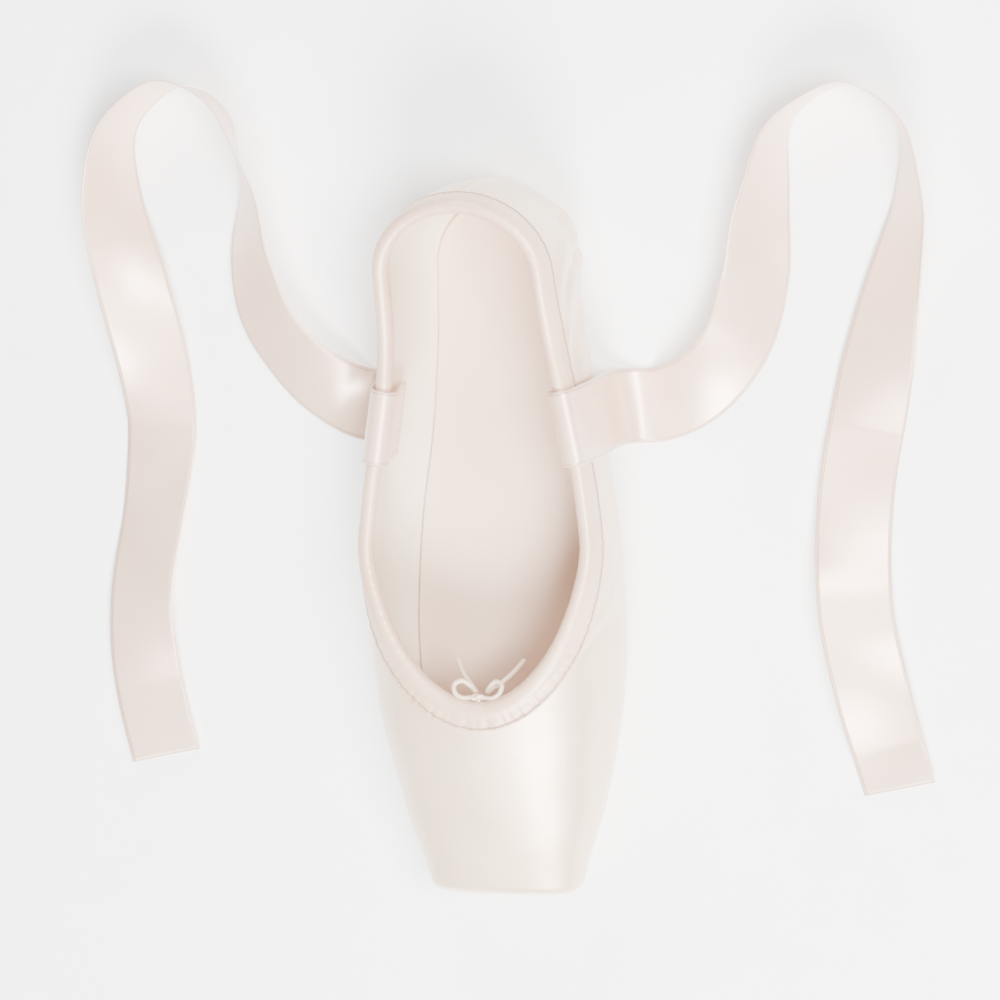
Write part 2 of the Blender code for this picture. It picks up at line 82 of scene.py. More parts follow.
def read_table(table: Array, column: int, place: Array | float) -> Array:
    """Values of a table's column at places, on a smooth curve through the rows.

    Args:
        table: Rows of numbers that start with their place.
        column: The column to read.
        place: Where to read it.

    Returns:
        The values, shaped like place.
    """
    places, values = table[:, 0], table[:, column]
    slopes = np.gradient(values, places)
    place = np.clip(place, places[0], places[-1])
    row = np.clip(np.searchsorted(places, place, side="right") - 1, 0, len(places) - 2)
    step = places[row + 1] - places[row]
    t = (place - places[row]) / step
    start = (1 + 2 * t) * (1 - t) ** 2 * values[row] + t * (1 - t) ** 2 * step * slopes[row]
    end = t * t * (3 - 2 * t) * values[row + 1] - t * t * (1 - t) * step * slopes[row + 1]
    return start + end


def run_of(line: Array) -> Array:
    """Distance along a line of points from its first to each."""
    steps = np.linalg.norm(np.diff(line[:, :3], axis=0), axis=1)
    return np.concatenate([[0.0], np.cumsum(steps)])


def spaced(line: Array, count: int) -> Array:
    """A line's points placed anew at an even spacing.

    Args:
        line: Points, with any further columns.
        count: How many points to place.

    Returns:
        The new points, with the same columns.
    """
    run = run_of(line)
    places = np.linspace(0.0, run[-1], count)
    return np.stack([np.interp(places, run, line[:, i]) for i in range(line.shape[1])], axis=1)


def through(route: Array, spacing: float) -> Array:
    """Points at an even spacing along a smooth curve through a route's points.

    Args:
        route: The route's points, with any further columns.
        spacing: Distance between the new points.

    Returns:
        The new points, with the same columns.
    """
    lengths = run_of(route)
    fine = np.linspace(0.0, lengths[-1], 60 * len(route))
    table = np.column_stack([lengths, route])
    line = np.stack([read_table(table, i + 1, fine) for i in range(route.shape[1])], axis=1)
    return spaced(line, max(2, round(run_of(line)[-1] / spacing) + 1))


def unit(vectors: Array) -> Array:
    """Vectors along the last axis, each brought to length one."""
    return vectors / np.maximum(np.linalg.norm(vectors, axis=-1, keepdims=True), 1e-12)


def ease(low: float, high: float, value: Array) -> Array:
    """A smooth step from 0 at low to 1 at high."""
    t = np.clip((value - low) / (high - low), 0.0, 1.0)
    return t * t * (3 - 2 * t)


def bell(value: Array, width: float) -> Array:
    """A soft hump, 1 at zero and gone at about twice its width."""
    return np.exp(-((value / width) ** 2))


def ripple(points: Array, length: float, seed: int) -> Array:
    """A soft, even unevenness in space, about -1 to 1.

    Args:
        points: Where to read it.
        length: Distance from one swell to the next.
        seed: Which of many such patterns.

    Returns:
        One value for each point.
    """
    waves, usual_height = 7, 3.2
    draw = np.random.default_rng(seed)
    total = np.zeros(points.shape[:-1])
    for _ in range(waves):
        way = unit(draw.normal(size=3)) * TURN / (length * draw.uniform(0.75, 1.4))
        total += np.sin(points @ way + draw.uniform(0, TURN))
    return total / usual_height


def gathers(run: Array, pitch: float, wander: float) -> Array:
    """Rounded folds with sharp valleys along a run, with a mean of about zero.

    Args:
        run: Distance along the gathered edge.
        pitch: Distance from one valley to the next.
        wander: How unevenly the valleys lie, as a share of the pitch.

    Returns:
        The height of the folds, from -0.64 to 0.36.
    """
    mean = 0.64
    phase = run / pitch
    phase = phase + wander * (np.sin(phase * 1.9 + 0.7) + 0.6 * np.sin(phase * 4.3 + 2.1))
    return np.abs(np.sin(math.pi * phase)) - mean


# The last


def rows_of(*rows: tuple[float, ...]) -> Array:
    """A table from its rows."""
    return np.array(rows)


@dataclass(frozen=True)
class Last:
    """The form that the shoe is built on, with its sizes and its sections."""

    length: float = 0.240
    ball_width: float = 0.086
    heel_width: float = 0.061
    heel_centre: float = 0.090
    platform_width: float = 0.0505
    platform_height: float = 0.025
    platform_lift: float = 0.0068
    platform_tread: float = 0.026
    platform_edge: float = 0.0026
    widest_height: float = 0.022
    vamp_length: float = 0.067
    instep_height: float = 0.0515
    collar_lean: float = 0.0035
    side_height: float = 0.0445
    heel_height: float = 0.061
    heel_lean: float = 0.006
    wall: float = 0.0022
    gap: float = 0.0003
    sole_thickness: float = 0.0027
    sole_width: float = 0.049
    sole_waist_width: float = 0.027
    sole_heel_width: float = 0.031
    sole_tip: float = 0.022
    sole_end: float = 0.013
    sole_tip_round: float = 0.034
    sole_lap: float = 0.002
    margin: float = 0.007
    arch_rise: float = 0.003
    forefoot_rest_start: float = 0.045
    forefoot_rest_end: float = 0.090
    heel_rest_start: float = 0.190
    toe_spring_power: float = 1.6
    seam_place: float = 0.160
    throat_length_share: float = 0.32
    throat_roundness: float = 1.55
    sections: Array = field(default_factory=lambda: rows_of(
        # place, width, square
        (0.000, -0.43, 0.100),
        (0.050, -0.17, 0.085),
        (0.100, 0.17, 0.075),
        (0.150, 0.42, 0.065),
        (0.200, 0.63, 0.060),
        (0.270, 0.88, 0.055),
        (0.340, 1.00, 0.050),
        (0.420, 1.00, 0.050),
        (0.500, 0.96, 0.050),
        (0.580, 0.78, 0.050),
        (0.680, 0.42, 0.045),
        (0.780, 0.12, 0.040),
        (0.875, 0.00, 0.040),
        (1.000, 0.00, 0.040),
    ))
    outsole: Array = field(default_factory=lambda: rows_of(
        # place, forefoot, waist, heel
        (0.00, 0.84, 0.00, 0.00),
        (0.14, 0.97, 0.00, 0.00),
        (0.24, 1.00, 0.00, 0.00),
        (0.36, 0.92, 0.08, 0.00),
        (0.50, 0.42, 0.58, 0.00),
        (0.63, 0.00, 1.00, 0.00),
        (0.76, 0.00, 0.50, 0.50),
        (0.90, 0.00, 0.00, 1.00),
        (1.00, 0.00, 0.00, 1.00),
    ))
    crest: Array = field(default_factory=lambda: rows_of(
        # place, rise
        (0.00, 0.00),
        (0.25, 0.30),
        (0.50, 0.58),
        (0.75, 0.82),
        (1.00, 1.00),
    ))
    collar: Array = field(default_factory=lambda: rows_of(
        # place, lean, instep, side, heel
        (0.00, 1.00, 1.00, 0.00, 0.00),
        (0.11, 1.00, 0.88, 0.12, 0.00),
        (0.24, 1.00, 0.50, 0.50, 0.00),
        (0.36, 1.00, 0.14, 0.86, 0.00),
        (0.45, 0.95, 0.00, 1.00, 0.00),
        (0.57, 0.90, 0.00, 0.98, 0.02),
        (0.69, 0.84, 0.00, 0.78, 0.22),
        (0.83, 0.82, 0.00, 0.33, 0.67),
        (1.00, 0.82, 0.00, 0.00, 1.00),
    ))

    @property
    def toe(self) -> float:
        """Y of the platform."""
        return -self.length / 2

    @property
    def throat(self) -> float:
        """Y of the front of the opening."""
        return self.toe + self.vamp_length

    @property
    def seam(self) -> float:
        """Y of the side seams."""
        return self.toe + self.seam_place

    @property
    def heel_reach(self) -> float:
        """Distance from the heel's centre to its back."""
        return self.length / 2 - self.heel_centre

    @property
    def path_end(self) -> float:
        """Place along the side at which the back of the heel is reached."""
        return self.heel_centre + self.heel_width / 4 * math.pi

    @property
    def sole_front(self) -> float:
        """Y of the outsole's tip."""
        return self.toe + self.sole_tip

    @property
    def sole_back(self) -> float:
        """Y of the outsole's end."""
        return self.length / 2 - self.sole_end

    def floor_line(self, y: Array) -> Array:
        """Height of the outsole's underside: toe spring, flat forefoot, arch, flat heel.

        Args:
            y: Where along the shoe.

        Returns:
            The height there.
        """
        ball_front = self.toe + self.forefoot_rest_start
        ball_back = self.toe + self.forefoot_rest_end
        heel_front = self.toe + self.heel_rest_start
        spring = self.platform_lift - self.sole_thickness - self.gap
        up = np.clip((ball_front - y) / (ball_front - self.toe), 0.0, None)
        way = np.clip((y - ball_back) / (heel_front - ball_back), 0.0, 1.0)
        return spring * up**self.toe_spring_power + self.arch_rise * np.sin(math.pi * way) ** 2

    def outsole_half(self, y: Array, inset: float = 0.0) -> Array:
        """Half width of the outsole's outline, or of a line inside it.

        Args:
            y: Where along the shoe.
            inset: How far inside the outline.

        Returns:
            The half width, and 0 past the ends.
        """
        y = np.asarray(y, float)
        front, back = self.sole_front + inset, self.sole_back - inset
        place = (y - self.sole_front) / (self.sole_back - self.sole_front)
        widths = (self.sole_width, self.sole_waist_width, self.sole_heel_width)
        half = sum(read_table(self.outsole, i + 1, place) * w / 2 for i, w in enumerate(widths))
        tip = np.clip((y - front) / (self.sole_tip_round - inset), 0.0, 1.0)
        end = np.clip((y - self.heel_centre) / (back - self.heel_centre), 0.0, 1.0)
        return (half - inset) * np.sqrt(1 - (1 - tip) ** 2) * np.sqrt(1 - end**2)

    def last_half(self, y: Array) -> Array:
        """Half width of the last.

        Args:
            y: Where along the shoe.

        Returns:
            The half width there.
        """
        share = read_table(self.sections, 1, (y - self.toe) / self.length)
        narrow = (self.heel_width - self.platform_width) / -self.sections[0, 1]
        spread = np.where(share > 0, self.ball_width - self.heel_width, narrow)
        return (self.heel_width + share * spread) / 2

    def tread_half(self, y: Array) -> Array:
        """Half width of the upper's flat underside, a little wider than the outsole.

        Args:
            y: Where along the shoe.

        Returns:
            The half width there.
        """
        round_end = self.sole_front + self.sole_tip_round
        way = np.clip((y - self.toe) / (self.sole_tip + self.sole_tip_round), 0.0, 1.0)
        wide = self.outsole_half(round_end) + self.sole_lap
        tread = self.platform_tread / 2
        tip = tread + (wide - tread) * np.sin(way * math.pi / 2)
        return np.where(y > round_end, self.outsole_half(y) + self.sole_lap, tip)

    def collar_half(self, y: Array) -> Array:
        """Half width of the opening: a round throat that widens into the collar.

        Args:
            y: Where along the shoe.

        Returns:
            The half width there.
        """
        way = (y - self.throat) / (self.length / 2 - self.throat)
        half = self.last_half(y) - self.collar_lean * read_table(self.collar, 1, way)
        into = 1 - np.clip(way / self.throat_length_share, 0.0, 1.0)
        return half * np.sqrt(1 - into**self.throat_roundness)

    def collar_height(self, y: Array) -> Array:
        """Height of the opening's edge.

        Args:
            y: Where along the shoe.

        Returns:
            The height there.
        """
        way = (y - self.throat) / (self.length / 2 - self.throat)
        heights = (self.instep_height, self.side_height, self.heel_height)
        return sum(read_table(self.collar, i + 2, way) * h for i, h in enumerate(heights))


def arc(angle: Array, square: Array) -> tuple[Array, Array]:
    """Unit arc from the side (0) to the crest (a quarter turn), fuller when square."""
    fuller = 1 + square * np.sin(2 * angle) ** 2
    return np.cos(angle) * fuller, np.sin(angle) * fuller


class Sections:
    """Sections of the upper: straight across, then fanned round the heel's centre."""

    def __init__(self, last: Last, path: Array) -> None:
        """Measures the sections.

        Args:
            last: The form that they belong to.
            path: Place of each along the side, in metres from the origin.
        """
        self.last = last
        self.path = path = np.asarray(path, float)
        self.turn = np.maximum(0.0, path - last.heel_centre) / (last.heel_width / 2)
        self.centre = np.minimum(path, last.heel_centre)
        self.side_y = self.centre + last.heel_reach * np.sin(self.turn)
        depth = np.clip(path - last.toe, 0.0, last.platform_edge)
        edge = last.platform_edge
        inset = edge - np.sqrt(edge**2 - (edge - depth) ** 2)
        self.square = read_table(last.sections, 2, (self.side_y - last.toe) / last.length)
        rest = last.sole_thickness + last.gap
        self.bottom = last.floor_line(self.side_y) + rest + inset
        self.half = self._round(last.last_half(self.centre), last.heel_reach) - inset
        sole_reach = last.sole_back - last.heel_centre
        self.tread = self._round(last.tread_half(self.centre), sole_reach + last.sole_lap) - inset
        self.slot = self._round(
            last.outsole_half(self.centre, last.margin), sole_reach - last.margin
        )
        start = last.platform_lift + last.platform_height
        rise = read_table(last.crest, 1, (path - last.toe) / last.vamp_length)
        whole = start + rise * (last.instep_height - start) - inset
        reach = self._round(last.collar_half(self.centre), last.heel_reach - last.heel_lean)
        self.closed = path <= last.throat
        self.collar_angle = np.where(
            self.closed, math.pi / 2, self._angle_at(np.minimum(reach / self.half, 1.0))
        )
        lift = last.collar_height(self.side_y) - last.widest_height
        cut = last.widest_height + lift / arc(self.collar_angle, self.square)[1]
        self.crest = np.where(self.closed, whole, cut)

    def _round(self, half: Array, reach: float) -> Array:
        """Distance from the heel's centre to an ellipse, in the direction turned to."""
        across = np.where(half > 1e-9, np.cos(self.turn) / np.maximum(half, 1e-9), 1e9)
        return np.where(half > 1e-9, 1.0 / np.hypot(across, np.sin(self.turn) / reach), 0.0)

    def _angle_at(self, share: Array) -> Array:
        """Angle at which the arc is this share of the half width from the middle.

        Args:
            share: The distance from the middle, as a share of the half width.

        Returns:
            The angle for each section.
        """
        low, high = np.zeros_like(share), np.full_like(share, math.pi / 2)
        for _ in range(40):
            middle = (low + high) / 2
            inside = arc(middle, self.square)[0] > share
            low, high = np.where(inside, middle, low), np.where(inside, high, middle)
        return low

    def place(self, out: Array, z: Array) -> Array:
        """Points at a distance out from the sections' middle, at a height.

        Args:
            out: How far out.
            z: The height.

        Returns:
            The points.
        """
        x = out * np.cos(self.turn)
        y = self.centre + out * np.sin(self.turn)
        return np.stack(np.broadcast_arrays(x, y, z), axis=-1)

    def skin(self, angle: Array) -> Array:
        """Points on the outside: above the side for a positive angle, else below it.

        Args:
            angle: Angle round the section, from the side at 0.

        Returns:
            The points.
        """
        out, up = arc(np.abs(angle), self.square)
        above = angle >= 0
        wide = np.where(above, self.half * out, self.tread + (self.half - self.tread) * out)
        widest = self.last.widest_height
        tall = np.where(above, (self.crest - widest) * up, (self.bottom - widest) * up)
        return self.place(wide, widest + tall)

    def profiles(self, count: int) -> Array:
        """Evenly spaced points of each section, from the slot underneath up to its edge.

        Args:
            count: Points in a section.

        Returns:
            An array of sections by points by three.
        """
        angles = np.linspace(-math.pi / 2, 1.0, 120)[None, :]
        own = Sections(self.last, self.path[:, None])
        lines = own.skin(np.where(angles >= 0, angles * own.collar_angle, angles))
        lines = np.concatenate([own.place(own.slot, own.bottom), lines], axis=1)
        return np.stack([spaced(line, count) for line in lines])

    def cut_away(self) -> Array:
        """Length of skin that the opening takes out of each section's half.

        Returns:
            One length for each section.
        """
        own = Sections(self.last, self.path[:, None])
        share = np.linspace(0.0, 1.0, 60)[None, :]
        lines = own.skin(own.collar_angle + (math.pi / 2 - own.collar_angle) * share)
        return np.linalg.norm(np.diff(lines, axis=1), axis=-1).sum(axis=1)


class Collar:
    """The upper's edge, with its directions and the skin below it."""

    def __init__(self, last: Last, path: Array) -> None:
        """Finds the edge.

        Args:
            last: The form that it belongs to.
            path: Place of each point along the side.
        """
        self.last = last
        self.path = np.clip(path, last.throat, last.path_end)
        self.angle = Sections(last, self.path).collar_angle
        self.edge = self._surface(self.path, self.angle)
        self.out = self._outward(self.path, self.angle)
        step = 2e-5
        middle = np.clip(self.path, last.throat + step, last.path_end - step)
        ends = [Sections(last, middle + change) for change in (-step, step)]
        run = ends[1].skin(ends[1].collar_angle) - ends[0].skin(ends[0].collar_angle)
        run[self.path <= last.throat + step] = (1.0, 0.0, 0.0)
        run[self.path >= last.path_end - step] = (-1.0, 0.0, 0.0)
        run -= self.out * np.sum(run * self.out, axis=1, keepdims=True)
        self.run = unit(run)
        self.down = np.cross(self.run, self.out)
        self.along = run_of(self.edge)

    def _surface(self, path: Array, angle: Array) -> Array:
        """Points on the outside."""
        return Sections(self.last, path).skin(angle)

    def _slopes(self, path: Array, angle: Array) -> tuple[Array, Array]:
        """Change of the outside's points along the path and round the section.

        Args:
            path: Place of each point along the side.
            angle: Its angle round the section.

        Returns:
            The two changes.
        """
        step, turn = 1e-5, 1e-4
        before = np.minimum(path - step, self.last.path_end - step)
        along = (self._surface(before + step, angle) - self._surface(before, angle)) / step
        turned = self._surface(path, angle + turn) - self._surface(path, angle - turn)
        return along, turned / (2 * turn)

    def _outward(self, path: Array, angle: Array) -> Array:
        """Direction that the skin faces."""
        return unit(np.cross(*self._slopes(path, angle)))

    def below(self, distance: float, steps: int = 6) -> tuple[Array, Array]:
        """Walks down the skin from the edge.

        Args:
            distance: How far, along the skin.
            steps: Straight steps in the walk.

        Returns:
            The points reached, and the direction that the skin faces there.
        """
        path, angle, heading = self.path.copy(), self.angle.copy(), self.down
        for _ in range(steps):
            along, turned = self._slopes(path, angle)
            uu, vv = np.sum(along * along, 1), np.sum(turned * turned, 1)
            uv = np.sum(along * turned, 1)
            hu, hv = np.sum(heading * along, 1), np.sum(heading * turned, 1)
            scale = distance / steps / (uu * vv - uv * uv)
            path = path + (hu * vv - hv * uv) * scale
            angle = angle + (hv * uu - hu * uv) * scale
            normal = self._outward(path, angle)
            heading = unit(heading - normal * np.sum(heading * normal, 1, keepdims=True))
        return self._surface(path, angle), self._outward(path, angle)


# The bench


@dataclass
class Lay:
    """A sheet of points in rows and columns that is laid as faces."""

    points: Array
    uv: Array
    flipped: bool = False


def both_sides(points: Array, uv: Array, turned: Side = Side.RIGHT) -> list[Lay]:
    """A right half's sheet and its mirror image.

    Args:
        points: The right half's points.
        uv: Their UVs.
        turned: The side whose faces are turned over so that they point outwards.

    Returns:
        The two sheets.
    """
    return [Lay(points * (side.value, 1, 1), uv, side is turned) for side in Side]


def stitch_place(side: Side, ahead: Array, out: Array, spot: Array) -> Matrix:
    """Where one stitch goes.

    Args:
        side: The side that it is on.
        ahead: Direction of its thread, at the right half.
        out: Direction in which it stands off the piece.
        spot: Its middle.

    Returns:
        The place, mirrored for the left side.
    """
    axes = unit(np.array((ahead, np.cross(out, ahead), out)))
    place = Matrix(axes.T.tolist()).to_4x4()
    place.translation = Vector(spot)
    if side is Side.LEFT:
        place = Matrix.Scale(-1, 4, (1, 0, 0)) @ place @ Matrix.Scale(-1, 4, (0, 1, 0))
    return place


class Bench:
    """The modelling steps that every piece uses."""

    @staticmethod
    def clear() -> None:
        """Leaves nothing selected."""
        if bpy.context.object and bpy.context.object.mode != "OBJECT":
            bpy.ops.object.mode_set(mode="OBJECT")
        bpy.ops.object.select_all(action="DESELECT")

    @staticmethod
    def pick(*things: bpy.types.Object) -> None:
        """Selects these objects only, the first as the active one."""
        Bench.clear()
        for thing in things:
            thing.select_set(True)
        bpy.context.view_layer.objects.active = things[0]

    @staticmethod
    def lay(name: str, sheets: list[Lay], merge: float = 2e-6) -> bpy.types.Object:
        """Draws primitive grids over sheets of points and sews them together.

        Args:
            name: The new piece's name.
            sheets: The sheets, with their UVs in metres.
            merge: Distance under which points become one.

        Returns:
            The piece, a mesh at the origin.
        """
        made = []
        for sheet in sheets:
            rows, columns = sheet.points.shape[:2]
            Bench.clear()
            bpy.ops.mesh.primitive_grid_add(
                x_subdivisions=columns - 1, y_subdivisions=rows - 1, size=2.0
            )
            piece = bpy.context.object
            mesh = piece.data
            spots = np.empty(len(mesh.vertices) * 3)
            mesh.vertices.foreach_get("co", spots)
            spots = spots.reshape(-1, 3)
            column = np.rint((spots[:, 0] + 1) / 2 * (columns - 1)).astype(int)
            row = np.rint((spots[:, 1] + 1) / 2 * (rows - 1)).astype(int)
            mesh.vertices.foreach_set("co", sheet.points[row, column].ravel())
            corners = np.empty(len(mesh.loops), int)
            mesh.loops.foreach_get("vertex_index", corners)
            mesh.uv_layers[0].data.foreach_set("uv", sheet.uv[row, column][corners].ravel())
            if sheet.flipped:
                mesh.flip_normals()
            made.append(piece)
        Bench.pick(*made)
        if len(made) > 1:
            bpy.ops.object.join()
        piece = bpy.context.object
        piece.name = piece.data.name = name
        bpy.ops.object.mode_set(mode="EDIT")
        bpy.ops.mesh.select_all(action="SELECT")
        bpy.ops.mesh.remove_doubles(threshold=merge)
        bpy.ops.object.mode_set(mode="OBJECT")
        Bench.close_flat(piece)
        return piece

    @staticmethod
    def close_flat(piece: bpy.types.Object) -> None:
        """Takes out faces that merging has left without any width.

        Args:
            piece: The piece to mend.
        """
        shape = bmesh.new()
        shape.from_mesh(piece.data)
        bmesh.ops.dissolve_degenerate(shape, edges=shape.edges, dist=TOUCH)
        shape.to_mesh(piece.data)
        shape.free()

    @staticmethod
    def modify(piece: bpy.types.Object, kind: str, **settings: object) -> None:
        """Adds a modifier, sets it and applies it.

        Args:
            piece: The piece to change.
            kind: The modifier's type.
            **settings: Its settings by name.
        """
        Bench.pick(piece)
        modifier = piece.modifiers.new(kind, kind)
        for name, value in settings.items():
            setattr(modifier, name, value)
        bpy.ops.object.modifier_apply(modifier=modifier.name)

    @staticmethod
    def copies(
        name: str, pattern: bpy.types.Object, places: list[Matrix]
    ) -> bpy.types.Object:
        """One piece of many copies of a pattern, which is then removed.

        Args:
            name: The new piece's name.
            pattern: The piece to copy.
            places: Where each copy goes.

        Returns:
            The new piece.
        """
        mesh = pattern.data
        spots = np.empty(len(mesh.vertices) * 3)
        mesh.vertices.foreach_get("co", spots)
        spots = np.column_stack([spots.reshape(-1, 3), np.ones(len(mesh.vertices))])
        faces = [tuple(face.vertices) for face in mesh.polygons]
        points, polygons = [], []
        for i, place in enumerate(places):
            points.append(spots @ np.array(place).T[:, :3])
            polygons += [tuple(v + i * len(spots) for v in face) for face in faces]
        made = bpy.data.meshes.new(name)
        made.from_pydata(np.concatenate(points), [], polygons)
        made.uv_layers.new(name="UVMap")
        piece = bpy.data.objects.new(name, made)
        bpy.context.scene.collection.objects.link(piece)
        bpy.data.objects.remove(pattern, do_unlink=True)
        return piece

    @staticmethod
    def thread(name: str, size: tuple[float, float, float], rings: int = 6) -> bpy.types.Object:
        """One stitch: a short rounded thread, thickest in the middle, along X.

        Args:
            name: Its name.
            size: Length, width and height.
            rings: Rounds of faces along it.

        Returns:
            The stitch.
        """
        Bench.clear()
        bpy.ops.mesh.primitive_uv_sphere_add(segments=8, ring_count=rings, radius=0.5)
        piece = bpy.context.object
        piece.name = name
        bpy.ops.object.mode_set(mode="EDIT")
        bpy.ops.mesh.select_all(action="SELECT")
        bpy.ops.transform.rotate(
            value=math.pi / 2, orient_axis="Y", center_override=(0.0, 0.0, 0.0)
        )
        bpy.ops.transform.resize(value=size, center_override=(0.0, 0.0, 0.0))
        bpy.ops.object.mode_set(mode="OBJECT")
        return piece

    @staticmethod
    def tube(name: str, centres: Array, radius: Array, sides: int) -> bpy.types.Object:
        """A closed tube along points, with a radius for each point of each ring.

        Args:
            name: The new piece's name.
            centres: Points along the middle.
            radius: Rings by sides.
            sides: Points in a ring.

        Returns:
            The tube, with UVs in metres along and round it.
        """
        ahead = unit(np.gradient(centres, axis=0))
        # The rings start from a direction that no cord here runs along
        up = np.array((0.12, 0.05, 1.0))
        across = unit(up - ahead[0] * (ahead[0] @ up))
        frames = []
        for way in ahead:
            across = unit(across - way * (across @ way))
            frames.append(across)
        first = np.array(frames)
        second = np.cross(ahead, first)
        turn = np.linspace(0, TURN, sides + 1)
        wide = np.concatenate([radius, radius[:, :1]], axis=1)[:, :, None]
        ring = first[:, None] * np.cos(turn)[None, :, None]
        ring = ring + second[:, None] * np.sin(turn)[None, :, None]
        points = centres[:, None] + ring * wide
        ends = [np.repeat(centres[i][None, None], sides + 1, axis=1) for i in (0, -1)]
        points = np.concatenate([ends[0], points, ends[1]], axis=0)
        run = np.concatenate([[0.0], run_of(centres), [run_of(centres)[-1]]])
        uv = np.stack(np.broadcast_arrays(run[:, None], turn * np.mean(radius)), axis=-1)
        return Bench.lay(name, [Lay(points, uv)])


def on_body(
    piece: bpy.types.Object, slot: str, finish: bpy.types.Material, *nodes: str
) -> bpy.types.Object:
    """Finishes a piece: its material, smooth shading, and the solids that it stands for.

    Args:
        piece: The piece.
        slot: Not used.
        finish: Its material.
        *nodes: The solids that it replaces.

    Returns:
        The same piece.
    """
    piece.data.materials.clear()
    piece.data.materials.append(finish)
    piece.data.shade_smooth()
    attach(piece, "root")
    if nodes:
        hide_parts(*nodes)
    LOG.info("%s: %d faces", piece.name, len(piece.data.polygons))
    return piece


# Shaders


class Socket:
    """A value in a shader whose operators add Math nodes."""

    def __init__(self, shader: "Shader", socket: bpy.types.NodeSocket) -> None:
        """Wraps a node's output."""
        self.shader = shader
        self.socket = socket

    def __add__(self, other: "Socket | float") -> "Socket":
        """Sum."""
        return self.shader.maths("ADD", self, other)

    __radd__ = __add__

    def __sub__(self, other: "Socket | float") -> "Socket":
        """Difference."""
        return self.shader.maths("SUBTRACT", self, other)

    def __rsub__(self, other: float) -> "Socket":
        """Difference from a number."""
        return self.shader.maths("SUBTRACT", other, self)

    def __mul__(self, other: "Socket | float") -> "Socket":
        """Product."""
        return self.shader.maths("MULTIPLY", self, other)

    __rmul__ = __mul__

    def __truediv__(self, other: "Socket | float") -> "Socket":
        """Quotient."""
        return self.shader.maths("DIVIDE", self, other)

    def __pow__(self, other: float) -> "Socket":
        """Power."""
        return self.shader.maths("POWER", self, other)

    def size(self) -> "Socket":
        """The value without its sign."""
        return self.shader.maths("ABSOLUTE", self)

    def sine(self) -> "Socket":
        """Sine of the value."""
        return self.shader.maths("SINE", self)

    def wave(self, pitch: float) -> "Socket":
        """A sine with one swell for each pitch of the value."""
        return (self * (TURN / pitch)).sine()

    def part(self) -> "Socket":
        """What is over a whole number."""
        return self.shader.maths("FRACT", self)

    def between(self, low: float, high: float) -> "Socket":
        """A smooth step from 0 at low to 1 at high.

        Args:
            low, high: Where the step starts and ends.

        Returns:
            The step's value.
        """
        node = self.shader.node(
            "ShaderNodeMapRange",
            {"interpolation_type": "SMOOTHSTEP"},
            {0: self, 1: low, 2: high, 3: 0.0, 4: 1.0},
        )
        return Socket(self.shader, node.outputs[0])


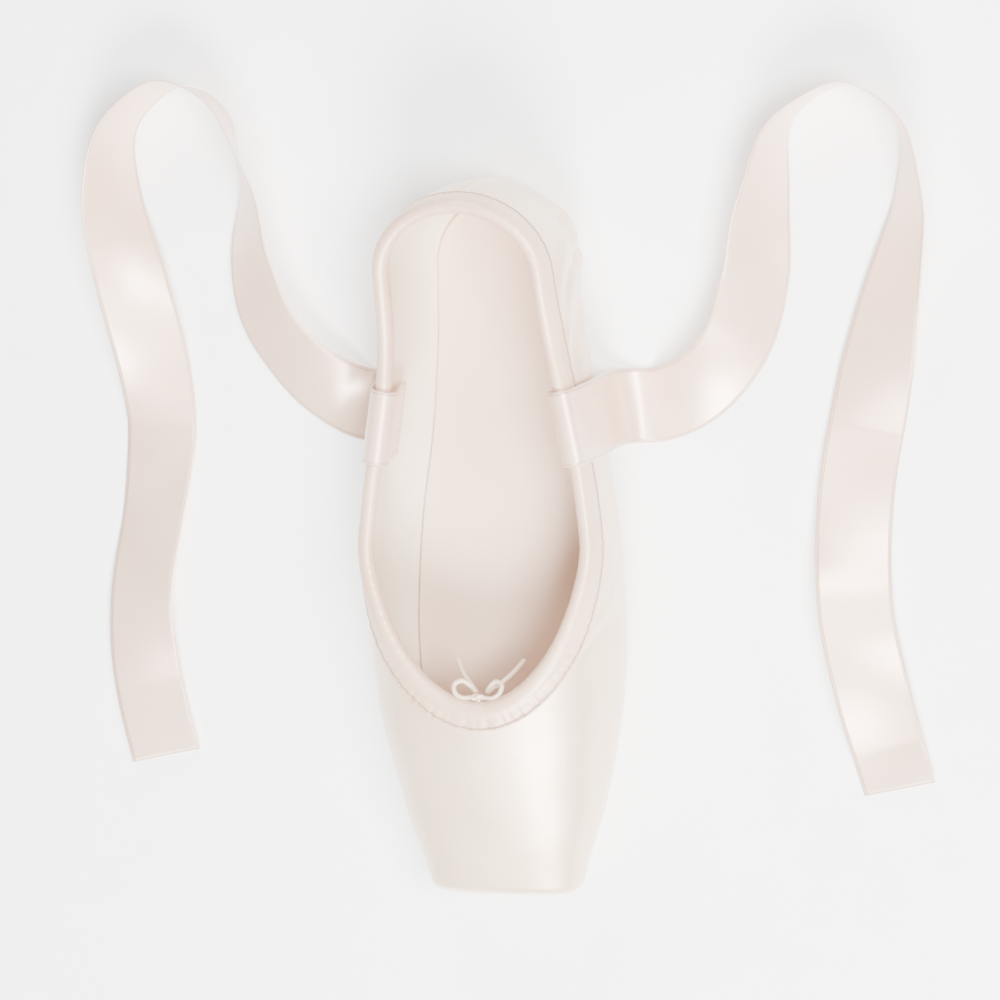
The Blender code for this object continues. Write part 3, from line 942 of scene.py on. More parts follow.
class Shader:
    """A material's nodes, drawn from one Principled shader."""

    def __init__(self, name: str) -> None:
        """Starts a material.

        Args:
            name: The material's name.
        """
        self.material = bpy.data.materials.new(name)
        self.material.use_nodes = True
        self.tree = self.material.node_tree
        self.tree.nodes.clear()
        self.surface = self.node("ShaderNodeBsdfPrincipled", {}, {})
        output = self.node("ShaderNodeOutputMaterial", {}, {})
        self.tree.links.new(self.surface.outputs[0], output.inputs[0])

    def node(self, kind: str, settings: dict, inputs: dict) -> bpy.types.Node:
        """Adds a node.

        Args:
            kind: Its type.
            settings: Settings by name, set first.
            inputs: Values or sockets by the input's name or number.

        Returns:
            The node.
        """
        made = self.tree.nodes.new(kind)
        for name, value in settings.items():
            setattr(made, name, value)
        for name, value in inputs.items():
            self.feed(made.inputs[name], value)
        return made

    def feed(self, socket: bpy.types.NodeSocket, value: object) -> None:
        """Links an input to a socket, or sets its value or colour.

        Args:
            socket: The input.
            value: A socket, a number, a vector or a colour.
        """
        if isinstance(value, Socket):
            self.tree.links.new(value.socket, socket)
        elif socket.type == "RGBA":
            socket.default_value = (*value, 1.0)
        else:
            socket.default_value = value

    def maths(self, operation: str, *values: Socket | float) -> Socket:
        """A Math node on values or numbers."""
        node = self.node("ShaderNodeMath", {"operation": operation}, dict(enumerate(values)))
        return Socket(self, node.outputs[0])

    def spot(self, name: str) -> Socket:
        """Where on the piece: its Object or UV coordinates."""
        return Socket(self, self.node("ShaderNodeTexCoord", {}, {}).outputs[name])

    def split(self, vector: Socket) -> list[Socket]:
        """The three numbers of a vector."""
        node = self.node("ShaderNodeSeparateXYZ", {}, {0: vector})
        return [Socket(self, output) for output in node.outputs]

    def stretched(self, vector: Socket, scale: tuple[float, float, float]) -> Socket:
        """A vector multiplied by another."""
        node = self.node("ShaderNodeVectorMath", {"operation": "MULTIPLY"}, {0: vector, 1: scale})
        return Socket(self, node.outputs[0])

    def noise(self, vector: Socket, scale: float, detail: float = 3.0) -> Socket:
        """Soft noise from 0 to 1.

        Args:
            vector: Where.
            scale: Swells in a metre.
            detail: How many finer layers.

        Returns:
            Its value.
        """
        node = self.node(
            "ShaderNodeTexNoise",
            {"noise_dimensions": "3D"},
            {"Vector": vector, "Scale": scale, "Detail": detail, "Roughness": 0.55},
        )
        return Socket(self, node.outputs["Fac"])

    def cells(self, vector: Socket, scale: float) -> Socket:
        """Distance to the nearest of many scattered points."""
        node = self.node("ShaderNodeTexVoronoi", {}, {"Vector": vector, "Scale": scale})
        return Socket(self, node.outputs["Distance"])

    def mix(
        self, share: Socket | float, first: Socket | Colour, second: Socket | Colour
    ) -> Socket:
        """A colour between two.

        Args:
            share: How much of the second.
            first, second: Colours.

        Returns:
            The mixed colour.
        """
        node = self.node(
            "ShaderNodeMix", {"data_type": "RGBA"}, {0: share, 6: first, 7: second}
        )
        return Socket(self, node.outputs[2])

    def relief(self, height: Socket, depth: float) -> None:
        """Lets a height stand on the surface.

        Args:
            height: The height, from 0 to 1.
            depth: What 1 measures, in metres.
        """
        bump = self.node(
            "ShaderNodeBump", {}, {"Strength": 1.0, "Distance": depth, "Height": height}
        )
        self.tree.links.new(bump.outputs[0], self.surface.inputs["Normal"])

    def finish(self, **inputs: object) -> bpy.types.Material:
        """Sets the surface's own sockets.

        Args:
            **inputs: Values or sockets by name, with _ for a space.

        Returns:
            The finished material.
        """
        for name, value in inputs.items():
            self.feed(self.surface.inputs[name.replace("_", " ")], value)
        return self.material


# Finishes


@dataclass(frozen=True)
class Satin:
    """Woven satin: fine warp floats along U, a soft gloss and faint slubs.

    The slubs run along U, or along Y where the cloth is cut to the shoe's length.
    """

    name: str
    light: Colour
    shade: Colour
    roughness: float = 0.36
    pitch: float = 0.32 * MM
    weave: float = 0.030 * MM
    sheen: float = 0.04
    coat: float = 0.18
    lustre: float = 0.22
    sewn: float | None = None
    stitch_pitch: float = 2.3 * MM
    selvedge: float | None = None
    rib_pitch: float = 0.7 * MM
    lengthwise: bool = False
    line: Colour = tinted(160, 124, 102)
    # Swells in a metre: of the broad clouds, and of slubs and drifts along and across
    clouds: float = 26.0
    slubs: tuple[float, float] = (60.0, 900.0)
    drifts: tuple[float, float] = (25.0, 220.0)

    def _drawn_out(
        self, shader: Shader, swells: tuple[float, float], detail: float
    ) -> Socket:
        """Noise drawn out along the threads.

        Args:
            shader: The material's shader.
            swells: How many in a metre, along and across.
            detail: How many finer layers.

        Returns:
            Its value.
        """
        along, across = swells
        scale = (across, along, across) if self.lengthwise else (along, across, 1.0)
        where = shader.spot("Object" if self.lengthwise else "UV")
        return shader.noise(shader.stretched(where, scale), 1.0, detail)

    def _seam(
        self, shader: Shader, u: Socket, v: Socket, colour: Socket, height: Socket
    ) -> tuple[Socket, Socket]:
        """A sewn line that the cloth puckers at.

        Args:
            shader: The material's shader.
            u, v: Places along the cloth and across it.
            colour, height: The cloth's colour and height without the line.

        Returns:
            The colour and the height with it.
        """
        away = (v - self.sewn).size()
        dip = 1 - away.between(0.08 * MM, 0.50 * MM)
        near = 1 - away.between(0.3 * MM, 1.9 * MM)
        pucker = u.wave(self.stitch_pitch) * 0.5 + 0.5
        colour = shader.mix(dip * 0.80, colour, self.line)
        return colour, height - dip * 7.0 + near * pucker * 4.0

    def _selvedges(
        self, shader: Shader, u: Socket, v: Socket, colour: Socket, height: Socket
    ) -> tuple[Socket, Socket]:
        """Ribbed selvedges with a line inside each.

        Args:
            shader: The material's shader.
            u, v: Places along the cloth and across it.
            colour, height: The cloth's colour and height without them.

        Returns:
            The colour and the height with them.
        """
        dip = 1 - (v.size() - self.selvedge).size().between(0.10 * MM, 0.35 * MM)
        rim = v.size().between(self.selvedge, self.selvedge + 0.15 * MM)
        rib = u.wave(self.rib_pitch) * 0.5 + 0.5
        colour = shader.mix(dip * 0.40 + rim * rib * 0.12, colour, self.line)
        return colour, height - dip * 3.5 + rim * rib * 1.5

    def material(self) -> bpy.types.Material:
        """The satin's material.

        Returns:
            The finished material.
        """
        shader = Shader(self.name)
        u, v, _ = shader.split(shader.spot("UV"))
        broad = shader.noise(shader.spot("Object"), self.clouds, 2.0)
        slub = self._drawn_out(shader, self.slubs, 3.0)
        drift = self._drawn_out(shader, self.drifts, 2.0)
        warp = (v * (TURN / self.pitch) + math.pi / 2).sine()
        weft = ((u * (TURN / self.pitch / 1.6)) + warp * 0.8).sine()
        colour = shader.mix(broad.between(0.3, 0.7) * 0.7 + slub * 0.3, self.light, self.shade)
        height = warp * 0.22 + weft * 0.08 + slub * 1.1 + drift * 1.3
        if self.sewn is not None:
            colour, height = self._seam(shader, u, v, colour, height)
        if self.selvedge is not None:
            colour, height = self._selvedges(shader, u, v, colour, height)
        shader.relief(height, self.weave)
        return shader.finish(
            Base_Color=colour,
            Roughness=self.roughness + (slub - 0.5) * 0.10 + (broad - 0.5) * 0.06,
            Metallic=self.lustre,
            Sheen_Weight=self.sheen,
            Sheen_Roughness=0.35,
            Coat_Weight=self.coat,
            Coat_Roughness=0.24,
            IOR=1.46,
        )


@dataclass(frozen=True)
class Cloth:
    """Plain woven cloth: canvas, cotton or tape, with threads both ways."""

    name: str
    light: Colour
    shade: Colour
    pitch: float = 0.55 * MM
    depth: float = 0.09 * MM
    roughness: float = 0.86
    # Swells in a metre, of the threads' nap and of the broad clouds
    nap: float = 900.0
    clouds: float = 40.0

    def material(self) -> bpy.types.Material:
        """The cloth's material.

        Returns:
            The finished material.
        """
        shader = Shader(self.name)
        spot = shader.spot("Object")
        u, v, _ = shader.split(shader.spot("UV"))
        nap = shader.noise(spot, self.nap, 3.0)
        broad = shader.noise(spot, self.clouds, 3.0)
        cloth = (u.wave(self.pitch) * v.wave(self.pitch)) * 0.5 + 0.5
        colour = shader.mix(broad * 0.6 + (1 - cloth) * 0.25 + nap * 0.2, self.light, self.shade)
        shader.relief(cloth * 0.6 + nap * 0.6, self.depth)
        return shader.finish(
            Base_Color=colour, Roughness=self.roughness, Sheen_Weight=0.2, Sheen_Roughness=0.5
        )


@dataclass(frozen=True)
class SoleLeather:
    """Buffed leather: speckled face, dark rim, and awl holes along the stitched channel."""

    name: str = "sole_leather"
    face: Colour = tinted(188, 109, 47)
    pale: Colour = tinted(211, 140, 76)
    dark: Colour = tinted(135, 74, 30)
    rim: Colour = tinted(92, 56, 34)
    hole: Colour = tinted(62, 36, 22)
    rim_width: float = 0.9 * MM
    channel: float = 3.0 * MM
    pitch: float = 6.0 * MM
    relief: float = 0.16 * MM
    # Swells in a metre, from the finest to the broadest, and specks in a metre
    swells: tuple[float, float, float] = (1500.0, 520.0, 60.0)
    specks: float = 950.0

    def material(self) -> bpy.types.Material:
        """The leather's material.

        Returns:
            The finished material.
        """
        shader = Shader(self.name)
        spot = shader.spot("Object")
        u, v, _ = shader.split(shader.spot("UV"))
        fine, grain, cloud = (shader.noise(spot, scale, 4.0) for scale in self.swells)
        speck = shader.cells(spot, self.specks)
        colour = shader.mix(grain.between(0.44, 0.62) * 0.75, self.face, self.pale)
        colour = shader.mix(fine.between(0.54, 0.70) * 0.8, colour, self.dark)
        colour = shader.mix((1 - speck.between(0.05, 0.22)) * 0.35, colour, self.dark)
        colour = shader.mix(cloud.between(0.48, 0.72) * 0.30, colour, self.dark)
        edge = 1 - v.between(self.rim_width * 0.6, self.rim_width * 1.5)
        channel = 1 - (v - self.channel).size().between(0.35 * MM, 0.9 * MM)
        colour = shader.mix(channel * 0.28, colour, self.dark)
        awl = ((u / self.pitch).part() - 0.5).size() * self.pitch
        awl = (awl**2 + (v - self.channel) ** 2) ** 0.5
        hole = 1 - awl.between(0.32 * MM, 0.62 * MM)
        colour = shader.mix(hole * 0.9, colour, self.hole)
        colour = shader.mix(edge * 0.92, colour, self.rim)
        shader.relief(grain * 0.5 + fine * 0.5 - speck * 0.3 - hole * 2.5, self.relief)
        return shader.finish(
            Base_Color=colour,
            Roughness=0.80 - edge * 0.32 + (grain - 0.5) * 0.2,
            Sheen_Weight=0.12,
        )


@dataclass(frozen=True)
class Plain:
    """A surface of one colour with a soft unevenness, for thread and for the floor."""

    name: str
    colour: Colour
    roughness: float = 0.7
    grain: float = 0.05 * MM
    swells: float = 900.0
    glow: float = 0.0
    shade: float = 0.93

    def material(self) -> bpy.types.Material:
        """The material.

        Returns:
            The finished material.
        """
        shader = Shader(self.name)
        spot = shader.spot("Object")
        noise = shader.noise(spot, self.swells, 2.0)
        darker = tuple(value * self.shade for value in self.colour)
        shader.relief(noise, self.grain)
        return shader.finish(
            Base_Color=shader.mix(noise, self.colour, darker),
            Roughness=self.roughness,
            Emission_Color=(1.0, 1.0, 1.0),
            Emission_Strength=self.glow,
        )


SATIN = Satin(
    "satin", tinted(238, 212, 185), tinted(229, 199, 170), roughness=0.36, coat=0.60,
    lengthwise=True,
)
RIBBON_SATIN = Satin(
    "ribbon_satin", tinted(238, 206, 184), tinted(230, 193, 170), roughness=0.34, coat=0.50,
    selvedge=11.6 * MM,
)
TAPE = Satin(
    "binding_tape", tinted(230, 196, 170), tinted(217, 180, 154), roughness=0.42,
    pitch=0.4 * MM, coat=0.30, lustre=0.10, sewn=1.46 * MM,
)
CANVAS = Cloth("lining_canvas", tinted(236, 219, 198), tinted(220, 200, 176))
SOCK = Cloth(
    "insole_sock", tinted(234, 207, 186), tinted(219, 188, 165), pitch=0.42 * MM, depth=0.06 * MM
)
COTTON = Plain("drawstring_cotton", tinted(238, 212, 188), 0.82, 0.08 * MM, 1400.0)
SOLE_THREAD = Plain("sole_thread", tinted(250, 226, 203), 0.75)
FINE_THREAD = Plain("fine_thread", tinted(186, 150, 126), 0.6)
FLOOR = Plain("floor", (0.90, 0.90, 0.90), 0.9, 0.01 * MM, 60.0, 0.9)


# Camera, floor and light


@dataclass
class Studio:
    """A pale floor, soft light and the camera at the photograph's angle to the shoe."""

    toward: tuple[float, float, float] = (0.28, 0.14, 0.95)
    target: tuple[float, float, float] = (0.0005, 0.0120, 0.018)
    span: float = 0.334
    lens: float = 130.0
    sensor: float = 36.0
    sight: tuple[float, float] = (0.05, 30.0)
    roll: float = math.radians(1.8)
    floor_size: float = 8.0
    air: float = 0.20
    # Name, place, side in metres and power in watts
    lamps: tuple[tuple[str, tuple[float, float, float], float, float], ...] = (
        ("key", (0.72, 0.10, 1.30), 0.50, 62.0),
        ("front", (0.34, -1.05, 1.28), 0.70, 112.0),
        ("back", (-0.20, 1.50, 0.80), 0.50, 34.0),
    )

    def set_camera(self) -> None:
        """Places the camera and makes it the scene's."""
        back = Vector(self.toward).normalized()
        up = Vector((0.0, 1.0, 0.0))
        up = (up - back * up.dot(back)).normalized()
        up.rotate(Matrix.Rotation(-self.roll, 3, back))
        right = up.cross(back)
        turned = Matrix((right, up, back)).transposed().to_4x4()
        data = bpy.data.cameras.new("camera")
        data.lens, data.sensor_width = self.lens, self.sensor
        data.clip_start, data.clip_end = self.sight
        camera = bpy.data.objects.new("camera", data)
        distance = self.span * self.lens / self.sensor
        spot = Vector(self.target) + back * distance
        camera.matrix_world = Matrix.Translation(spot) @ turned
        bpy.context.scene.collection.objects.link(camera)
        bpy.context.scene.camera = camera

    def lay_floor(self) -> None:
        """Lays the floor."""
        Bench.clear()
        bpy.ops.mesh.primitive_plane_add(size=self.floor_size)
        floor = bpy.context.object
        floor.name = "floor"
        floor.data.materials.append(FLOOR.material())

    def _lamp(
        self, name: str, spot: tuple[float, float, float], size: float, power: float
    ) -> None:
        """Hangs one soft light that looks at the shoe.

        Args:
            name: Its name.
            spot: Where it hangs.
            size: Its side.
            power: Its strength in watts.
        """
        data = bpy.data.lights.new(name, "AREA")
        data.shape, data.size, data.energy = "SQUARE", size, power
        lamp = bpy.data.objects.new(name, data)
        lamp.location = spot
        aim = Vector(self.target) - Vector(spot)
        lamp.rotation_euler = aim.to_track_quat("-Z", "Y").to_euler()
        bpy.context.scene.collection.objects.link(lamp)

    def light(self) -> None:
        """Hangs the lights and brightens the air."""
        for lamp in self.lamps:
            self._lamp(*lamp)
        world = bpy.data.worlds.new("air")
        world.use_nodes = True
        air = world.node_tree.nodes["Background"]
        air.inputs[0].default_value = (1.0, 1.0, 1.0, 1.0)
        air.inputs[1].default_value = self.air
        bpy.context.scene.world = world


# The upper


@dataclass(frozen=True)
class Crease:
    """A soft trough in the satin, or a ridge where its depth is below zero.

    Places are (place, down): metres along the side from the origin, and metres down the
    skin from the collar or the crest.
    """

    side: Side
    start: tuple[float, float]
    end: tuple[float, float]
    width: float
    depth: float
    steep: float = 0.6

    def dip(self, side: Side, place: Array, down: Array) -> Array:
        """How deep the crease lies at points of one side.

        Args:
            side: The side that the points are on.
            place: Their place along the side.
            down: Their distance down the skin.

        Returns:
            The depth at each point.
        """
        if side is not self.side:
            return np.zeros(np.broadcast(place, down).shape)
        a, b = np.array(self.start), np.array(self.end)
        way = b - a
        share = ((place - a[0]) * way[0] + (down - a[1]) * way[1]) / (way @ way)
        bend = 0.06 * np.linalg.norm(way) * np.sin(share * 5.0)
        across = (place - a[0]) * way[1] - (down - a[1]) * way[0]
        across = across / np.linalg.norm(way) - bend
        across = np.where(across > 0, across / self.steep, across)
        taper = ease(-0.22, 0.25, share) * (1 - ease(0.65, 1.2, share))
        return self.depth * bell(across, self.width) * taper


@dataclass(frozen=True)
class Pleats:
    """Satin gathered under one end of the shoe, where the outsole covers its edge."""

    pitch: float
    wander: float
    height: float
    reach: float
    # Where the pleats reach less and more far: by what share, over what run, and its start
    uneven: tuple[float, float, float]
    # Distance from the outsole's edge at which they stand up in full
    full: float
    # Run from the middle line at which they begin to fade, and at which they end
    fade: tuple[float, float]
    # Height of finer pleats between them, as a share
    finer: float = 0.0

    def height_at(self, run: Array, off: Array) -> Array:
        """Height of the pleats.

        Args:
            run: Distance along the outsole's edge from the middle line, signed by the side.
            off: Distance from that edge.

        Returns:
            The height at each point, before it fades up the side.
        """
        share, change, start = self.uneven
        folds = gathers(run, self.pitch, self.wander)
        folds = folds + self.finer * gathers(run, self.pitch / 2.7, 0.2)
        reach = self.reach * (1 + share * np.sin(run / change + start))
        shown = ease(-0.5 * MM, self.full, off) * (1 - ease(0.25, 1.0, off / reach))
        return folds * shown * (1 - ease(*self.fade, np.abs(run))) * self.height


@dataclass
class Upper:
    """Satin upper, its folds and seams, and the canvas that lines it."""

    last: Last
    satin_thickness: float = 0.9 * MM
    lining_gap: float = 0.05 * MM
    lining_start: float = 3.2 * MM
    columns: int = 90
    lining_columns: int = 44
    toe_pleats: Pleats = Pleats(
        pitch=7.4 * MM, wander=0.16, height=0.70 * MM, reach=23.0 * MM,
        uneven=(0.35, 4.1 * MM, 1.0), full=2.0 * MM, fade=(0.036, 0.062), finer=0.3,
    )
    heel_pleats: Pleats = Pleats(
        pitch=5.4 * MM, wander=0.18, height=0.50 * MM, reach=12.0 * MM,
        uneven=(0.30, 3.3 * MM, 0.4), full=1.8 * MM, fade=(0.026, 0.046),
    )
    # Height above the tread at which the pleats begin to fade, and at which they end
    pleat_top: tuple[float, float] = (0.010, 0.024)
    seam_width: float = 3.2 * MM
    seam_rise: float = 0.45 * MM
    seam_groove: float = 0.35 * MM
    seam_pucker: float = 0.07 * MM
    back_seam_width: float = 0.60 * MM
    back_seam_depth: float = 0.75 * MM
    back_seam_rise: float = 0.14 * MM
    back_seam_end: tuple[float, float] = (0.026, 0.034)
    swell: float = 0.22 * MM
    lining_swell: float = 0.12 * MM
    dent: float = 0.10 * MM
    # What stays of the wall under the deepest fold, besides the satin
    least_lining: float = 0.15 * MM
    creases: tuple[Crease, ...] = tuple(Crease(*row) for row in (
        # Side, start, end, width and depth; first the wings, below the binding
        (Side.RIGHT, (-0.034, 0.010), (-0.022, 0.022), 1.5 * MM, 0.55 * MM),
        (Side.RIGHT, (-0.030, 0.008), (-0.016, 0.020), 1.6 * MM, -0.40 * MM),
        (Side.RIGHT, (-0.024, 0.009), (-0.010, 0.019), 1.4 * MM, 0.35 * MM),
        (Side.LEFT, (-0.030, 0.011), (-0.012, 0.021), 2.2 * MM, 0.35 * MM),
        # Quarters, from the side seam towards the heel
        (Side.RIGHT, (0.058, 0.012), (0.082, 0.032), 3.4 * MM, 1.10 * MM),
        (Side.RIGHT, (0.066, 0.010), (0.094, 0.030), 3.2 * MM, -0.85 * MM),
        (Side.RIGHT, (0.078, 0.040), (0.108, 0.030), 3.4 * MM, 1.20 * MM),
        (Side.RIGHT, (0.084, 0.048), (0.118, 0.037), 3.0 * MM, -0.80 * MM),
        (Side.RIGHT, (0.092, 0.054), (0.122, 0.045), 2.6 * MM, 0.90 * MM),
        (Side.RIGHT, (0.072, 0.011), (0.108, 0.052), 2.6 * MM, 1.10 * MM),
        (Side.RIGHT, (0.080, 0.009), (0.115, 0.046), 4.2 * MM, -0.90 * MM),
        (Side.LEFT, (0.073, 0.012), (0.106, 0.050), 2.6 * MM, 1.05 * MM),
        (Side.LEFT, (0.081, 0.009), (0.114, 0.045), 4.0 * MM, -0.85 * MM),
        (Side.LEFT, (0.056, 0.014), (0.084, 0.028), 3.4 * MM, 1.05 * MM),
        (Side.LEFT, (0.070, 0.010), (0.098, 0.026), 3.0 * MM, -0.80 * MM),
        (Side.LEFT, (0.074, 0.043), (0.106, 0.031), 3.2 * MM, 1.15 * MM),
        (Side.LEFT, (0.086, 0.050), (0.116, 0.040), 2.8 * MM, -0.75 * MM),
        (Side.LEFT, (0.096, 0.056), (0.124, 0.048), 2.6 * MM, 0.85 * MM),
        # Along the arch, above the outsole
        (Side.RIGHT, (0.000, 0.046), (0.034, 0.042), 3.0 * MM, 0.45 * MM),
        (Side.LEFT, (0.004, 0.044), (0.032, 0.040), 3.2 * MM, 0.45 * MM),
    ))

    def _paths(self) -> Array:
        """Places of the satin's sections, closer where its edges turn.

        Returns:
            The places along the side, from the platform to the back of the heel.
        """
        last = self.last
        edge = last.toe + last.platform_edge * (1 - np.cos(np.linspace(0, math.pi / 2, 8)))
        slot_tip = last.sole_front + last.margin
        throat_end = last.throat + (last.length / 2 - last.throat) * last.throat_length_share
        toe = np.linspace(edge[-1], slot_tip, 38)
        tip = slot_tip + (last.throat - slot_tip) * np.linspace(0, 1, 34) ** 1.7
        throat = last.throat + (throat_end - last.throat) * np.linspace(0, 1, 44) ** 1.8
        seam = last.seam + self.seam_width * np.linspace(-1.3, 1.3, 19)
        waist = np.linspace(throat_end, seam[0], 18)[:-1]
        quarter = np.linspace(seam[-1], last.heel_centre, 45)
        heel = np.linspace(last.heel_centre, last.path_end, 49)
        parts = [toe[1:], tip[1:], throat[1:], waist[1:], seam, quarter[1:], heel[1:]]
        return np.concatenate([edge, *parts])

    def _outline(self) -> tuple[Array, Array]:
        """The outsole's right edge, seen from above.

        Returns:
            Its points from the tip to the end, and the run along it.
        """
        last = self.last
        share = (1 - np.cos(np.linspace(0, math.pi, 240))) / 2
        y = last.sole_front + (last.sole_back - last.sole_front) * share
        edge = np.column_stack([last.outsole_half(y), y])
        edge[[0, -1], 0] = 0.0
        return edge, run_of(edge)

    def _by_outsole(self, x: Array, y: Array) -> tuple[Array, Array, float]:
        """Where points lie by the outsole's edge.

        Args:
            x, y: The points.

        Returns:
            Their distance from the edge, below zero under the outsole, the run along the
            edge from its tip, and the whole run.
        """
        last = self.last
        edge, run = self._outline()
        flat = np.stack([np.abs(x), y], axis=-1).reshape(-1, 2)
        nearest = np.empty(len(flat), int)
        for part in np.array_split(np.arange(len(flat)), 40):
            far = np.hypot(*(flat[part][:, None] - edge[None]).transpose(2, 0, 1))
            nearest[part] = np.argmin(far, axis=1)
        off = np.hypot(*(flat - edge[nearest]).T).reshape(x.shape)
        inside = np.abs(x) < last.outsole_half(y)
        inside &= (y > last.sole_front) & (y < last.sole_back)
        return np.where(inside, -off, off), run[nearest].reshape(x.shape), run[-1]

    def _side_seam(self, path: Array, up: Array, off: Array) -> Array:
        """Height of the lapped side seam, its stitched grooves and its puckers.

        Args:
            path: Place of each section, as a column.
            up: Distance of each point up the skin.
            off: Distance from the outsole's edge.

        Returns:
            The height at each point.
        """
        from_seam = path - self.last.seam
        across = from_seam / (self.seam_width / 2)
        lap = np.sqrt(np.clip(1 - across**2, 0.0, 1.0)) * self.seam_rise
        groove = bell(from_seam + self.seam_width * 0.62, 0.5 * MM)
        groove = groove + 0.7 * bell(from_seam - self.seam_width * 0.60, 0.5 * MM)
        pucker = np.sin(up / (0.95 * MM) + 1.5 * np.sin(up / (5.1 * MM)))
        pucker = pucker * bell(from_seam, 3.4 * MM) * self.seam_pucker
        return (lap - groove * self.seam_groove + pucker) * ease(-0.5 * MM, 1.0 * MM, off)

    def _back_seam(self, path: Array, x: Array, down: Array) -> Array:
        """Depth of the back seam, which lies on the middle line of the heel.

        Args:
            path: Place of each section, as a column.
            x: The points' X.
            down: Distance of each point down the skin from the edge.

        Returns:
            The depth at each point.
        """
        far = 1.0
        away = np.where(path > self.last.heel_centre, np.abs(x), far)
        line = bell(away, self.back_seam_width) * self.back_seam_depth
        line = line - bell(away - 1.7 * MM, 0.8 * MM) * self.back_seam_rise
        return line * (1 - ease(*self.back_seam_end, down))

    def _drape(
        self, side: Side, path: Array, points: Array, down: Array, off: Array, own: Sections
    ) -> Array:
        """Soft swells and listed folds, which level off before they reach the lining.

        Args:
            side: The side that the points are on.
            path: Place of each section, as a column.
            points: Sections by points.
            down: Distance of each point down the skin from the edge.
            off: Distance from the outsole's edge.
            own: The sections.

        Returns:
            The height at each point.
        """
        above = points[..., 2] - own.bottom
        soft = ripple(points, 0.034, 5) * self.swell + ripple(points, 0.015, 8) * self.swell * 0.22
        soft = soft * (0.55 + 0.9 * ease(0.035, 0.075, path))
        near_sole = ease(-1.5 * MM, 3.0 * MM, off) + (above > 4 * MM)
        soft = soft * np.clip(near_sole, 0.0, 1.0)
        folds = sum(crease.dip(side, path, down) for crease in self.creases)
        folds = folds * ease(0.0, 6.0 * MM, np.abs(points[..., 0]))
        folds = folds * ease(0.5 * MM, 3.0 * MM, above)
        tight = ease(4.0 * MM, 8.5 * MM, down) + np.where(own.closed, 1.0, 0.0)
        drape = (soft - folds) * np.clip(tight, 0.0, 1.0)
        room = self.last.wall - self.satin_thickness - self.least_lining
        return np.where(drape < 0, room * np.tanh(drape / room), drape)

    def _relief(self, side: Side, path: Array, points: Array, up: Array) -> Array:
        """How far the satin stands off the last, or lies into it.

        Args:
            side: The side that the points are on.
            path: Place of each section, as a column.
            points: Sections by points.
            up: Distance of each point up the skin from the lower edge.

        Returns:
            The height at each point.
        """
        own = Sections(self.last, path)
        down = up[:, -1:] - up
        x, y, z = points[..., 0], points[..., 1], points[..., 2]
        off, run, whole = self._by_outsole(x, y)
        sign = np.where(x < 0, -1, 1)
        pleats = self.toe_pleats.height_at(run * sign, off)
        pleats = pleats + self.heel_pleats.height_at((whole - run) * sign, off)
        pleats = pleats * (1 - ease(*self.pleat_top, z - own.bottom))
        seams = self._side_seam(path, up, off) - self._back_seam(path, x, down)
        return pleats + seams + self._drape(side, path, points, down, off, own)

    def _cloth_uv(self, path: Array, points: Array) -> Array:
        """Places on the cloth: along the side, and up to where the crest would be.

        Args:
            path: Place of each section along the side.
            points: Sections by points.

        Returns:
            The two numbers for each point.
        """
        up = np.stack([run_of(row) for row in points])
        from_crest = up - up[:, -1:] - Sections(self.last, path).cut_away()[:, None]
        return np.stack([np.broadcast_to(path[:, None], up.shape), from_crest], axis=-1)

    @staticmethod
    def facing(points: Array, at_back: Array) -> Array:
        """Direction that a right half's points face, level on the middle plane.

        Args:
            points: Sections by points.
            at_back: Which sections lie on the middle line of the heel.

        Returns:
            The direction at each point.
        """
        normal = np.cross(np.gradient(points, axis=0), np.gradient(points, axis=1))
        normal[np.abs(points[..., 0]) < 1e-7, 0] = 0.0
        normal[at_back, :, 0] = 0.0
        return unit(normal)

    def _half(self, path: Array, columns: int) -> tuple[Array, Array]:
        """Points of the right half, closed on the middle plane, and what they face.

        Args:
            path: Place of each section along the side.
            columns: Points in a section.

        Returns:
            The points and their directions.
        """
        last = self.last
        points = Sections(last, path).profiles(columns)
        at_back = path >= last.path_end - TOUCH
        points[at_back, :, 0] = 0.0
        points[path <= last.throat, -1, 0] = 0.0
        points[path <= last.sole_front + last.margin + TOUCH, 0, 0] = 0.0
        return points, self.facing(points, at_back)

    def _satin_half(self, side: Side) -> list[Lay]:
        """The satin's sheets on one side: the platform and the skin.

        Args:
            side: Which side.

        Returns:
            The platform's face and the skin behind it.
        """
        last = self.last
        mirror = (side.value, 1, 1)
        path = self._paths()
        points, normal = self._half(path, self.columns)
        normal[0] = (0.0, -1.0, 0.0)
        up = np.stack([run_of(row) for row in points])
        height = self._relief(side, path[:, None], points * mirror, up)
        skin = points + normal * height[..., None]

        share = np.sin(np.linspace(0, math.pi / 2, 18))[:, None, None]
        middle = np.array((0.0, last.toe, last.platform_lift + last.platform_height * 0.5))
        face = middle + (skin[:1] - middle) * share
        dent = ripple(face * mirror, 0.012, 3) * self.dent
        face[..., 1] += dent * (1 - share[..., 0] ** 6)
        turned = side is Side.RIGHT
        return [
            Lay(face * mirror, face[..., [2, 0]], turned),
            Lay(skin * mirror, self._cloth_uv(path, points), turned),
        ]

